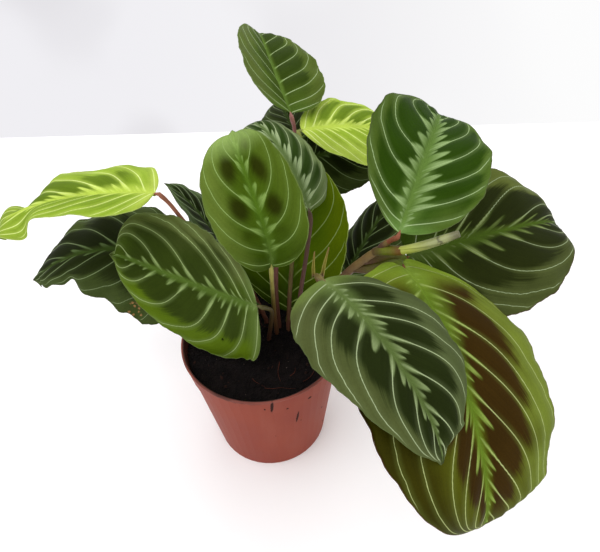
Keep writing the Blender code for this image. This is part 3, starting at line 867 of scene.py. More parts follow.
class BladePattern(Pattern):
    """The group that draws laterals, feather, bars and margin on a blade, with painted sheen on the margin
    and by the laterals.
    """

    PLUME_BODY = (1.2, 1.15)       # how far a plume swells, and how fast it narrows
    BARB_BODY = (0.3, 0.95)
    BARB_PLACES = (0.40, 0.70)     # where the two barbs stand from one lateral to the next

    def measure(self) -> None:
        """Read where a point lies on the blade, and the grain that all masks share."""
        b = self.bench
        left_number, self.side, self.along = b.split(b.attribute("vein_field", "Vector"))
        self.gap, self.from_rib, self.from_margin = b.split(b.attribute("vein_sizes", "Vector"))
        self.right = b.math("GREATER_THAN", self.side, 0.0)
        self.reach = abs(self.side)
        self.number = self.right.between(left_number, b.attribute("right_veins"))
        self.ends = (self.along.step(0.0, 0.2).between(0.45, 1.0)
                     * self.along.step(0.70, 0.98).between(1.0, 0.4))
        self.place = b.place()
        self.grain = b.noise(b.get("ShaderNodeCombineXYZ", {
            0: self.number * 16.0, 1: self.reach * 2.2, 2: self.right}), 1.0, 3.0)
        self.mottle = b.noise(self.place, 45.0)
        self.fine = b.noise(self.place, 900.0, 1.0)

    def spindle(self, place: float, limit: Value, width: Value, root: object, body: tuple
                ) -> tuple[Value, Value]:
        """Draw one plume or barb in each space between two laterals.

        Args:
            place: Where it stands, as a share of the space.
            limit: How far it reaches, as a share of the half width.
            width: Its half width, as a share of the space.
            root: Share of that width at its root.
            body: How far it swells, and how fast it narrows.

        Returns:
            Its mask, and how far out a point is on it.
        """
        swelling, narrowing = body
        from_axis = self.number - place
        cell = self.bench.math("ROUND", from_axis)
        chance = self.bench.get("ShaderNodeTexWhiteNoise", {"W": cell + place + self.right * 57.3},
                                "Value", noise_dimensions="1D")
        length = limit * chance.between(0.78, 1.18) * self.ends
        length = length * self.along.step(0.2, 0.75).between(1.0, self.given["Feather end"])
        out = self.reach / (length | 0.001)
        shape = (out * swelling + root) * ((1.0 - out) | 0.0) ** narrowing
        edge = width * shape - abs(from_axis - cell) + (self.grain - 0.5) * 0.10
        return edge.step(-0.05, 0.06) * out.step(1.0, 0.85), out

    def feather(self) -> tuple[Value, Value, Value]:
        """Draw the feather along the midrib.

        Returns:
            The masks of the whole feather and its palest parts, and how far out a point is.
        """
        g = self.given
        near, far = self.BARB_PLACES
        plume, plume_out = self.spindle(0.0, g["Plume reach"], g["Plume width"], g["Plume root"],
                                        self.PLUME_BODY)
        first, first_out = self.spindle(near, g["Barb reach"], g["Barb width"], 1.0, self.BARB_BODY)
        second, second_out = self.spindle(far, g["Barb reach"] * g["Second barb"],
                                          g["Barb width"] * 0.7, 1.0, self.BARB_BODY)
        limit = g["Root band"] * self.along.step(0.0, 0.6).between(1.5, g["Band end"])
        band = (self.reach + (self.grain - 0.5) * 0.08).step(limit * 1.7, limit * 0.2) * 0.85
        pale = (plume * plume_out.step(0.05, 0.5) | first * first_out.step(0.1, 0.75)
                | second * second_out.step(0.1, 0.9))
        return plume | first | second | band, pale, plume_out

    def bars(self) -> Value:
        """Draw the dark bars or ovals between the laterals.

        Returns:
            Their mask.
        """
        g, right, reach, along = self.given, self.right, self.reach, self.along
        limit = right.between(g["Left dark reach"], g["Right dark reach"])
        limit = limit * along.step(0.5, 0.95).between(1.0, g["Dark end"])
        jag = (self.grain - 0.5) * 0.22
        middle = self.bench.math("FRACT", self.number) - 0.5
        out = reach + middle * middle * 0.45 + (jag + (self.mottle - 0.5) * 0.22)
        start = g["Dark start"]
        bar = reach.step(start * 0.5, start * 1.6) * out.step(limit + 0.10, limit - 0.06)
        outward = reach - 0.38
        far = self.bench.hypot((outward * 1.4 + middle) / 0.40, outward / 0.20)
        oval = (far + jag).step(1.35, 0.35) * along.step(0.22, 0.42)
        ends = along.step(right.between(0.03, 0.08), right.between(0.16, 0.26)) * along.step(0.97, 0.84)
        return g["Ovals"].between(bar, oval) * ends * right.between(g["Left dark"], g["Right dark"])

    def lines(self, plume_out: Value) -> tuple[Value, Value, Value]:
        """Draw what is as narrow as a vein.

        Args:
            plume_out: How far out a point is on its plume.

        Returns:
            The masks of the laterals, of the midrib and of the paler strip by each lateral, which is
            painted sheen.
        """
        away = abs(self.bench.math("FRACT", self.number + 0.5) - 0.5) * self.gap
        wide = self.given["Vein width"] * self.reach.between(1.35, 0.75)
        line = away.step(wide * 1.5, wide * 0.4) * self.from_margin.step(0.6, 3.0)
        line = line * self.from_rib.step(0.3, 1.6) * plume_out.step(0.3, 0.95).between(0.25, 1.0)
        # The paler strip by each lateral is painted sheen of the raised panels between the veins.
        strip = away.step(3.4, 0.4) * self.reach.step(0.12, 0.4) * self.given["Strips"]
        rib_width = self.along.between(0.90, 0.32)
        return line, self.from_rib.step(rib_width * 1.4, rib_width * 0.4), strip

    def draw(self) -> tuple[Value, Value, Value]:
        """Lay the masks over each other.

        Returns:
            The colour, the roughness and the height.
        """
        self.measure()
        b, g = self.bench, self.given
        mask, pale, plume_out = self.feather()
        line, rib, strip = self.lines(plume_out)
        near_base = self.along.step(g["Base reach"], 0.0)
        glow = b.mix(0.35, g["Base"], g["Feather"])
        outward = self.reach + (self.mottle - 0.5) * 0.4
        tip = self.along.step(1.0 - g["Tip reach"], 1.0 - g["Tip reach"] * 0.25)
        colour = b.layers(
            g["Ground"],
            # The outer part of each half takes its margin colour, which includes a painted grey sheen.
            (outward.step(0.35, 0.80), b.mix(self.right, g["Left margin"], g["Right margin"])),
            # Near each lateral the painted sheen strip weakens the dark bars and lays a paler coat.
            (self.bars() * strip.between(1.0, 0.2), g["Dark"]),
            (near_base * 0.85, g["Base"]),
            (strip * 0.35, g["Feather"]),
            (mask * 0.92, b.layers(g["Feather root"], (pale, g["Feather"]), (near_base * 0.8, glow))),
            (rib * 0.8, b.mix(near_base, g["Feather root"], glow)),
            (tip * 0.85, g["Tip"]),
            (self.from_margin.step(0.75, 0.3) * 0.8, g["Rim"]),
            (line * 0.92, g["Vein"]))
        colour = b.shade(colour, (self.grain * 0.36 + 0.82) * (self.mottle * 0.44 + 0.78)
                         * (self.fine * 0.24 + 0.88))
        cells = b.get("ShaderNodeTexVoronoi", {"Vector": self.place, "Scale": 260.0}, "Distance")
        far = b.hypot((self.side - g["Speck side"]) * 0.45, self.along - g["Speck along"])
        blot = (self.fine * 0.5 + cells).step(0.58, 0.42) * far.step(0.075, 0.05)
        return (b.mix(blot * g["Specks"], colour, (176, 128, 84)),
                self.fine * 0.16 + 0.40 + mask * 0.08,
                self.fine * 0.14 + self.grain * 0.22 - line * 0.30 + rib * 0.35)


@dataclass
class Foliage:
    """Builds the sixteen blades as thin closed shells with raised panels between veins."""

    pattern: BladePattern
    rows: int = 132
    columns: int = 56
    quilt: float = 0.90            # height of the panels between the laterals
    quilt_reach: float = 3.0       # distance from a lateral over which a panel rises
    groove: float = 0.45           # depth of the fold along the midrib
    margin_end: float = 0.9        # where the first lateral ends, as a share from the tip
    base_spread: float = 0.08      # space between laterals that fan out from the base
    beyond: int = 6                # laterals counted on past the first and the last

    def count(self, places: tuple, reach: np.ndarray, along: np.ndarray, bend: tuple) -> np.ndarray:
        """Count the laterals up to each point: whole on a lateral, a share between two.

        Args:
            places: Where the laterals of this half leave the midrib.
            reach: How far out each point is, 0 to 1.
            along: Share of the length.
            bend: How straight the laterals run, and how far they lean.

        Returns:
            The counts.
        """
        straight, lean = bend
        bow = straight * reach + (1 - straight) * reach ** 5
        left = np.log(np.maximum(1 - along, 0.002))
        start = 1 - np.exp((left - bow * math.log(self.margin_end)) / (1 + lean * bow))
        known = [places[0] - self.base_spread * self.beyond, *places,
                 places[-1] + (places[-1] - places[-2]) * self.beyond]
        marks = [-self.beyond, *range(len(places)), len(places) - 1 + self.beyond]
        return np.interp(start, known, marks)

    def edge_bumps(self, leaf: Leaf, side: np.ndarray, along: np.ndarray) -> np.ndarray:
        """Return the small uneven steps of the margin.

        Args:
            leaf: The leaf.
            side: -1 at the left edge to 1 at the right one, a grid.
            along: Share of the length, the same grid.

        Returns:
            A factor on the width at each point.
        """
        seed = sum(map(ord, leaf.name)) % 17
        phase = np.where(side < 0, seed, seed + 2.4)
        bumps = (0.010 * np.sin(2 * math.pi * 6.3 * along + phase)
                 + 0.005 * np.sin(2 * math.pi * 13.7 * along + 1.7 * phase)
                 + 0.002 * np.sin(2 * math.pi * 29.0 * along + 0.6 * phase))
        factor = 1 + (bumps - 0.008) * np.abs(side) ** 4
        for half, place, reach, share in EDGE_NOTCHES.get(leaf.name, ()):
            near = np.exp(-((along - place) / reach) ** 2) * (side * half > 0)
            factor = factor * (1 - share * near * np.abs(side) ** 1.5)
        return factor

    def surface(self, leaf: Leaf, side: np.ndarray, along: np.ndarray
                ) -> tuple[np.ndarray, np.ndarray]:
        """Return the places of the blade's upper face.

        Args:
            leaf: The leaf.
            side: -1 at the left edge to 1 at the right one, a grid.
            along: Share of the length, the same grid.

        Returns:
            The places, and the half width at each.
        """
        stations, *tracks = midrib(leaf)
        spot, across, up = (np.stack([np.interp(along, stations, track[:, axis]) for axis in range(3)],
                                     axis=-1) for track in tracks)
        left = side < 0
        pinch = leaf.pinch * np.exp(-((along - PINCH_PLACE) / PINCH_REACH) ** 2)
        fold = np.radians(np.where(left, *leaf.folds) + pinch)
        curl = np.radians(np.where(left, *leaf.curls))
        reach = np.abs(side)
        sideways = (np.sin(fold) - np.sin(fold - curl * reach)) / curl
        lift = (np.cos(fold - curl * reach) - np.cos(fold)) / curl
        share = np.where(left, *(width_share(along, *half) for half in zip(leaf.peaks, leaf.rounds)))
        width = np.maximum(np.where(left, *leaf.widths) * share, (1 - along) * STALK_WIDTH / 2)
        wave = leaf.ripple * reach ** 2 * share * np.sin(
            2 * math.pi * leaf.ripples * along + np.where(left, 0.0, RIGHT_EDGE_PHASE))
        sideways = np.where(left, -sideways, sideways) * self.edge_bumps(leaf, side, along)
        rise = lift * width + wave
        places = spot + across * (sideways * width)[..., None] + up * rise[..., None]
        ahead = np.cross(up, across)
        if leaf.name in BASE_LOBES:
            lobes = np.array(BASE_LOBES[leaf.name])[np.where(left, 0, 1)]
            out = np.clip(reach * width / lobes[..., 1], 0, 1)
            back = lobes[..., 0] * np.sin(math.pi * out ** 0.55)
            places = places - ahead * (back * np.exp(-(along / LOBE_FALL) ** 2))[..., None]
        if leaf.name in DRAWN_TIPS:
            drawn = np.clip((along - DRAWN_START) / (1 - DRAWN_START), 0, 1) ** 1.3
            places = places + (ahead - 0.35 * across) * (DRAWN_TIPS[leaf.name] * drawn)[..., None]
        return places, width

    def gap(self, places: np.ndarray, number: np.ndarray, side: np.ndarray, along: np.ndarray
            ) -> np.ndarray:
        """Measure the spaces between the laterals.

        Args:
            places: Places of the upper face.
            number: Count of the laterals at each.
            side: -1 at the left edge to 1 at the right one.
            along: Share of the length.

        Returns:
            The distance in millimetres from one lateral to the next at each point.
        """
        by_along, number_along = (np.gradient(grid, along[:, 0], axis=0) for grid in (places, number))
        by_side, number_side = (np.gradient(grid, side[0], axis=1) for grid in (places, number))
        ee = (by_side ** 2).sum(-1)
        ff = (by_side * by_along).sum(-1)
        gg = (by_along ** 2).sum(-1)
        room = np.maximum(ee * gg - ff ** 2, 1e-6)
        slope = (gg * number_side ** 2 - 2 * ff * number_side * number_along
                 + ee * number_along ** 2) / room
        return 1 / np.sqrt(np.maximum(slope, 1e-4))

    def build(self, leaf: Leaf) -> bpy.types.Object:
        """Build one blade.

        Args:
            leaf: The leaf.

        Returns:
            The blade, which stands for its CAD node.
        """
        number = np.arange(self.rows + 1) / self.rows
        stations = 0.25 * number + 0.75 * (1 - np.cos(math.pi * number)) / 2
        halves = np.linspace(0.0, 1.0, self.columns // 2 + 1) ** 0.9
        side, along = np.meshgrid(np.concatenate([-halves[:0:-1], halves]), stations)
        places, width = self.surface(leaf, side, along)
        reach = np.abs(side)
        left_veins, right_veins = (self.count(row, reach, along, bend) for row, bend in zip(
            LATERALS.get(leaf.name, EVEN_LATERALS), BENDS.get(leaf.name, EVEN_BENDS)))
        veins = np.where(side < 0, left_veins, right_veins)
        gap = self.gap(places, veins, side, along)
        normals = np.cross(np.gradient(places, axis=1), np.gradient(places, axis=0))
        normals = normals / np.maximum(np.linalg.norm(normals, axis=-1, keepdims=True), 1e-9)
        normals[-1] = normals[-2]
        away = np.abs((veins + 0.5) % 1.0 - 0.5) * gap
        from_rib, from_margin = reach * width, (1 - reach) * width
        fade = np.clip(from_margin / 6, 0, 1) * np.clip(from_rib / 4, 0, 1)
        fade = fade * np.clip((1 - along) / 0.06, 0, 1)
        relief = self.quilt * (1 - np.exp(-(away / self.quilt_reach) ** 2)) * fade
        relief = relief - self.groove * np.exp(-(from_rib / 1.6) ** 2) * (1 - along)
        top = places + normals * relief[..., None]
        thick = EDGE_THICKNESS + (BLADE_THICKNESS - EDGE_THICKNESS) * np.clip(from_margin / 5, 0, 1)
        ridge = (MIDRIB_THICKNESS - BLADE_THICKNESS + self.groove) * (1 - along)
        thick = thick + ridge * np.exp(-(from_rib / MIDRIB_REACH) ** 2)
        low = top - normals * thick[..., None]
        mesh = self.shell(leaf, top, low, self.hole(leaf, side, along, top, low))
        for name, grids in (("vein_field", (left_veins, side, along)),
                            ("vein_sizes", (gap, from_rib, from_margin)), ("right_veins", (right_veins,))):
            values = np.stack(grids, axis=-1).reshape(-1, len(grids)).squeeze()
            store(mesh, name, np.concatenate([values, values]))
        flat = np.stack([(side + 1) / 2, along], axis=-1).reshape(-1, 2)
        corners = np.zeros(len(mesh.loops), int)
        mesh.loops.foreach_get("vertex_index", corners)
        mesh.uv_layers.new(name="blade").data.foreach_set(
            "uv", flat[corners % len(flat)].astype(np.float32).ravel())
        colouring, changes = LOOKS[leaf.name]
        finish = self.pattern.make(f"{leaf.name} upper face", replace(FINISHES[colouring], **changes))
        slot = "lime_blade" if leaf.name.startswith("lime") else "blade"
        return new_piece(f"leaf_{leaf.name}", mesh, slot, f"blade_{leaf.name}", finish)

    def hole(self, leaf: Leaf, side: np.ndarray, along: np.ndarray, top: np.ndarray,
             low: np.ndarray) -> list[tuple[int, int]]:
        """Round off the rim of a hole in the grids.

        Args:
            leaf: The leaf.
            side: -1 at the left edge to 1 at the right one, a grid.
            along: Share of the length, the same grid.
            top: Places of the upper face, moved here.
            low: Places of the lower face, moved here.

        Returns:
            Rows and columns of the points round the hole, in order, or none.
        """
        if leaf.name not in HOLES:
            return []
        half, place, radius = HOLES[leaf.name]
        r = int(np.argmin(np.abs(along[:, 0] - place)))
        c = int(np.argmin(np.abs(side[0] - half)))
        ring = [(r, c), (r, c + 1), (r + 1, c + 1), (r + 2, c + 1), (r + 2, c), (r + 1, c)]
        for grid in (top, low):
            centre = np.mean([grid[spot] for spot in ring], axis=0)
            for spot in ring:
                way = grid[spot] - centre
                grid[spot] = centre + way * radius / np.linalg.norm(way)
        return ring

    def shell(self, leaf: Leaf, top: np.ndarray, low: np.ndarray, hole: list) -> bpy.types.Mesh:
        """Join the upper and the lower grid into one closed shell, open at the hole.

        Args:
            leaf: The leaf.
            top: Places of the upper face.
            low: Places of the lower face.
            hole: Rows and columns of the points round the hole, or none.

        Returns:
            The mesh.
        """
        rows, columns = top.shape[:2]
        count = rows * columns
        rim = ([(r, 0) for r in range(rows)] + [(rows - 1, c) for c in range(1, columns)]
               + [(r, columns - 1) for r in range(rows - 2, -1, -1)]
               + [(0, c) for c in range(columns - 2, 0, -1)])
        open_cells = {hole[0], hole[-1]} if hole else set()
        starts = [r * columns + c for r in range(rows - 1) for c in range(columns - 1)
                  if (r, c) not in open_cells]
        upper = [(a, a + 1, a + 1 + columns, a + columns) for a in starts]
        lower = [tuple(corner + count for corner in face[::-1]) for face in upper]
        walls = []
        for ring in (rim, hole):
            for (r, c), (s, d) in zip(ring, ring[1:] + ring[:1]):
                a, b = r * columns + c, s * columns + d
                walls.append((b, a, a + count, b + count))
        places = np.concatenate([top.reshape(-1, 3), low.reshape(-1, 3)])
        return mesh_of(f"leaf_{leaf.name}", places, upper + lower + walls)


# Stalks and stem

@dataclass(frozen=True)
class StalkFinish:
    """Colours of a stalk from the soil to the blade."""

    foot: Colour = (96, 58, 44)
    middle: Colour = (112, 108, 54)
    knee: Colour = (132, 140, 70)
    roughness: float = 0.42


STALK_LOOKS = {
    "centre": StalkFinish((92, 58, 40), (104, 88, 40), (156, 152, 76)),
    "front_left": StalkFinish((74, 46, 34), (74, 58, 34), (80, 76, 40)),
    "behind_centre": StalkFinish((70, 44, 42), (92, 62, 52), (86, 66, 52)),
    "lime_left": StalkFinish(middle=(140, 84, 62), knee=(150, 96, 72)),
    "top": StalkFinish(middle=(132, 86, 78), knee=(150, 100, 92)),
    "low_back": StalkFinish(middle=(110, 122, 40)),
}
CROWN_LOOKS = {
    "stem": StalkFinish((70, 46, 34), (82, 56, 42), (112, 92, 50)),
    "forked stalk": StalkFinish((108, 76, 46), (128, 72, 48), (134, 80, 56)),
    "sheathing stalk": StalkFinish((78, 54, 34), (82, 80, 26), (92, 106, 30)),
    "olive stalk": StalkFinish((88, 62, 40), (100, 84, 42), (104, 92, 50)),
    "wrapping sheath": StalkFinish((78, 60, 30), (100, 108, 28), (108, 76, 36)),
}


class StalkPattern(Pattern):
    """The group that draws the streaks of stalks and stem."""

    def draw(self) -> tuple[Value, Value, Value]:
        """Turn the colour from foot to knee and streak it.

        Returns:
            The colour, the roughness and the height.
        """
        b, g = self.bench, self.given
        place = b.place()
        streak = b.noise(b.stretch(place, 900.0, 900.0, 60.0), 1.0, 3.0)
        cloud = b.noise(place, 130.0, 3.0)
        high = b.attribute("rise") + (cloud - 0.5) * 0.5
        colour = b.layers(g["Foot"], (high.step(0.0, 0.55), g["Middle"]), (high.step(0.5, 1.0), g["Knee"]))
        return b.shade(colour, streak * 0.5 + 0.75), g["Roughness"] + cloud * 0.15, streak


class Sweeper:
    """Turns chains of points into round tapered tubes with a geometry tree."""

    def __init__(self) -> None:
        """Build the tree."""
        self.bench, given, taken = new_group(
            "round sweep", "GeometryNodeTree", {"Path": "Geometry", "Sides": 16, "Finish": "Material"},
            {"Tube": "Geometry"})
        b = self.bench
        thick = b.get("GeometryNodeInputNamedAttribute", {"Name": "thickness"}, "Attribute",
                      data_type="FLOAT")
        share = b.get("GeometryNodeSplineParameter", None, "Factor")
        line = b.get("GeometryNodeMeshToCurve", {"Mesh": given["Path"]})
        line = b.get("GeometryNodeSetCurveRadius", {"Curve": line, "Radius": thick})
        line = b.get("GeometryNodeStoreNamedAttribute", {"Geometry": line, "Name": "rise", "Value": share},
                     data_type="FLOAT", domain="POINT")
        ring = b.get("GeometryNodeCurvePrimitiveCircle", {"Resolution": given["Sides"], "Radius": 1.0})
        tube = b.add("GeometryNodeCurveToMesh", {"Curve": line, "Profile Curve": ring, "Fill Caps": True})
        if "Scale" in tube.inputs:
            b.feed(tube.inputs["Scale"], thick)
        tube = b.get("GeometryNodeSetShadeSmooth", {"Geometry": tube.outputs[0]})
        tube = b.get("GeometryNodeRealizeInstances", {"Geometry": tube})
        b.feed(taken[0], b.get("GeometryNodeSetMaterial", {"Geometry": tube, "Material": given["Finish"]}))

    def sweep(self, name: str, points: list, radii: np.ndarray, finish: bpy.types.Material,
              sides: int = 16) -> bpy.types.Mesh:
        """Sweep one tube.

        Args:
            name: Name of the mesh.
            points: Points of its centre line.
            radii: Radius at each.
            finish: Its material.
            sides: Number of its sides.

        Returns:
            The mesh.
        """
        chain = bpy.data.meshes.new(name)
        edges = [(number, number + 1) for number in range(len(points) - 1)]
        chain.from_pydata([tuple(np.asarray(point) * MM) for point in points], edges, [])
        store(chain, "thickness", np.asarray(radii) * MM)
        return baked(new_object(name, chain), self.bench.tree, {"Sides": sides, "Finish": finish})


@dataclass
class Stalks:
    """The thin stalks that rise from the soil, each with its swollen knee below the blade."""

    sweeper: Sweeper
    pattern: StalkPattern
    foot_radius: float = 1.7
    knee_radius: float = 1.3
    end_radius: float = 0.95
    straight_top: float = 105.0
    start_height: float = 100.0
    parts: int = 9
    knee_reach: float = 9.0        # length of the swollen stretch below the blade
    knee_swell: float = 0.22

    def path(self, leaf: Leaf, start: tuple) -> tuple[list, list]:
        """Follow a stalk from its start to its blade.

        Args:
            leaf: The leaf that it carries.
            start: Where it starts.

        Returns:
            The points of its centre line, and the radius at each.
        """
        _, places, _, up = midrib(leaf)
        forward = places[1] - places[0]
        forward = forward / np.linalg.norm(forward)
        low = np.array(leaf.base, float) - up[0] * BLADE_THICKNESS
        points = smooth_route((start, *leaf.route, low - forward * NECK_LENGTH), self.parts)
        points += [low - forward * NECK_GAP, low + forward * 3.0 - up[0] * 0.35]
        radii = [*np.linspace(self.foot_radius, self.knee_radius, len(points) - 2), self.end_radius, 0.35]
        steps = [np.linalg.norm(b - a) for a, b in zip(points, points[1:])]
        left = np.append(np.cumsum(steps[::-1])[::-1], 0.0)
        swell = 1 + self.knee_swell * np.exp(-((left - self.knee_reach) / 4.5) ** 2)
        return points, list(np.array(radii) * swell)

    def build(self, leaf: Leaf) -> bpy.types.Object:
        """Build the stalk of one leaf that rises from the soil.

        Args:
            leaf: The leaf.

        Returns:
            The stalk, which stands for its CAD node.
        """
        points, radii = self.path(leaf, (*leaf.foot, self.straight_top))
        points.insert(0, np.array((*leaf.foot, self.start_height), float))
        radii.insert(0, self.foot_radius)
        look = STALK_LOOKS.get(leaf.name, StalkFinish())
        name = f"petiole_{leaf.name}"
        finish = self.pattern.make(f"{leaf.name} stalk finish", look)
        return new_piece(name, self.sweeper.sweep(name, points, radii, finish), "stalk",
                         f"stalk_{leaf.name}")


STEM_ROUTE = ((36, 5, 82), (36, 5, 105), (43, 4, 132), (60, -4, 170), (73, -12, 193), (81, -18, 206))
ROLL_ROUTE = ((83.4, -22.2, 208.4), (90, -28.5, 213), (100, -33, 219), (112, -36, 226), (121, -37, 231))
ROLL_RADII = (1.9, 2.5, 2.8, 2.7, 2.0)
WRAP_ROUTE = ((78, -16.5, 202.5), (83.4, -22.2, 208.4), (88, -26.6, 211.6), (92, -29.8, 214.2))
WRAP_RADII = (2.6, 3.1, 3.2, 2.7)
SHEATHS = {
    "sheath_tall": (((45.2, -14.7, 181.5), (47, -14, 192), (50, -13, 205)), (1.3, 1.1, 0.4)),
    "sheath_short": (((40, -15, 182), (40, -14, 191), (41, -14, 203)), (1.3, 1.0, 0.4)),
}


@dataclass
class Crown:
    """The thick stem at the right with its forks, the rolled new leaf and the sheaths."""

    stalks: Stalks
    foot_radius: float = 3.2
    end_radius: float = 2.4
    ring_points: int = 28
    overlap: float = 0.16          # step where the rolled leaf laps over itself
    turns: float = 0.35            # how far its seam winds round
    collars: dict = field(default_factory=lambda: {   # share of the stalk, widest radius
        "upright_right": (0.5, 2.2), "far_right": (1.0, 4.4),
        "large_front_right": (1.0, 4.2), "front": (0.2, 2.3)})

    def stem(self) -> bpy.types.Object:
        """Build the stem, the stalks that fork from it and the collars at the forks.

        Returns:
            The stem, which stands for its CAD node.
        """
        bark, red, green, olive, wrap = (self.stalks.pattern.make(f"{name} finish", look)
                                         for name, look in CROWN_LOOKS.items())
        sweep = self.stalks.sweeper.sweep
        points = smooth_route(STEM_ROUTE, 10)[6:]
        radii = np.linspace(self.foot_radius, self.end_radius, len(points))
        radii[-1] = self.end_radius * 0.6
        parts = [sweep("stem", points, radii, bark, 24)]
        for leaf in LEAVES:
            if leaf.on_stem:
                line, thick = self.stalks.path(leaf, leaf.foot)
                parts.append(sweep("fork", line, thick, olive if leaf.name == "front" else red))
                share, widest = self.collars[leaf.name]
                collar = line[:max(5, int(share * (len(line) - 2)))]
                swell = np.interp(np.linspace(0, 1, len(collar)), (0, 0.4, 0.9, 1), (0.7, 1, 0.95, 0.7))
                parts.append(sweep("collar", collar, swell * widest, bark if widest < 2.5 else green))
        line = smooth_route(WRAP_ROUTE, 5)
        parts.append(sweep("wrap", line, spread(WRAP_RADII, len(line))[1], wrap, 24))
        return new_piece("crown_stem", joined("crown_stem", parts), "stem", "right_stem")

    def roll_finish(self) -> bpy.types.Material:
        """Make the cream-green finish of the rolled leaf.

        Returns:
            The material.
        """
        b = Skin("rolled leaf finish")
        rise, place = b.attribute("rise"), b.place()
        cloud = b.noise(place, 220.0, 3.0)
        high = rise + (cloud - 0.5) * 0.16
        blot = b.noise(place, 700.0).step(0.60, 0.70) * rise.step(0.8, 0.95)
        marks = high.step(0.70, 0.72) * high.step(0.75, 0.73) | blot
        colour = b.layers((138, 158, 34), (high.step(0.1, 0.30), (172, 182, 78)),
                          (high.step(0.35, 0.7), (148, 154, 100)), (high.step(0.78, 0.95), (100, 98, 64)),
                          (marks * 0.7, (66, 60, 40)))
        return b.done(b.shade(colour, cloud * 0.35 + 0.82), 0.42, cloud, 0.0002)

    def rolled_leaf(self) -> bpy.types.Object:
        """Build the new leaf as a sheet rolled round itself, with its seam.

        Returns:
            The rolled leaf, which stands for its CAD node.
        """
        line = smooth_route(ROLL_ROUTE, 12)
        shares, radii = spread(ROLL_RADII, len(line))
        side = Vector((0.0, 0.0, 1.0))
        rings = []
        for number, (place, radius) in enumerate(zip(line, radii)):
            ahead = Vector(line[min(number + 1, len(line) - 1)] - line[max(number - 1, 0)]).normalized()
            first = (side - ahead * side.dot(ahead)).normalized()
            second = ahead.cross(first)
            ring = []
            for part in np.arange(self.ring_points) / (self.ring_points - 1):
                angle = 2 * math.pi * (part + self.turns * shares[number])
                reach = radius * (1 - self.overlap / 2 + self.overlap * part)
                ring.append(Vector(place) + first * (reach * math.cos(angle))
                            + second * (reach * math.sin(angle)))
            rings.append(ring)
        name = "rolled_leaf_fine"
        return new_piece(name, loft(name, rings, shares), "rolled_leaf", "rolled_leaf", self.roll_finish())

    def sheaths(self) -> list[bpy.types.Object]:
        """Build the two papery sheaths as open curled strips.

        Returns:
            The sheaths, which stand for their CAD nodes.
        """
        b = Skin("sheath finish")
        streak = b.noise(b.stretch(b.place(), 1500.0, 1500.0, 120.0), 1.0, 3.0)
        rise = b.attribute("rise")
        colour = b.layers((120, 84, 60), (rise.step(0.0, 0.25), (150, 142, 52)),
                          (rise.step(0.6, 1.0), (140, 112, 56)))
        finish = b.done(b.shade(colour, streak * 0.7 + 0.65), 0.7, streak, 0.0003)
        pieces = []
        for name, (route, widths) in SHEATHS.items():
            line = smooth_route(route, 10)
            shares, radii = spread(widths, len(line))
            rings = [self.open_ring(*row) for row in zip(line, radii, shares)]
            pieces.append(new_piece(f"{name}_fine", loft(f"{name}_fine", rings, shares), "sheath", name,
                                    finish))
        return pieces

    def open_ring(self, place: np.ndarray, radius: float, share: float) -> np.ndarray:
        """Make one ring of a curled strip, open at one side and thin all through.

        Args:
            place: Its centre.
            radius: Its outer radius.
            share: How far along the strip it is.

        Returns:
            Its points.
        """
        span = math.radians(300 - 130 * share)
        angle = -span / 2 + span * np.arange(13) / 12 + 1.2 + 0.8 * share
        ragged = 0.25 * np.sin(5 * angle) * share ** 3
        outer, inner = (place + np.stack([np.cos(angle) * reach, np.sin(angle) * reach, ragged], axis=-1)
                        for reach in (radius, radius - 0.22))
        return np.concatenate([outer, inner[::-1]])


# Pot and soil

# Soil marks on the pot: angle, height, half width, half height, slant

POT_MARKS = (
    (-83.2, 103.0, 1.0, 7.6, -0.6), (-64.3, 74.0, 0.9, 7.2, -0.9), (-55.0, 95.5, 1.5, 1.2, 0.0),
    (-72.7, 95.0, 0.9, 0.9, 0.0), (-36.2, 57.0, 0.9, 1.1, 0.0), (-26.0, 22.0, 1.1, 1.8, 0.0),
    (-88.2, 100.5, 0.5, 1.3, 0.0), (-61.0, 66.0, 0.5, 0.6, 0.0),
)


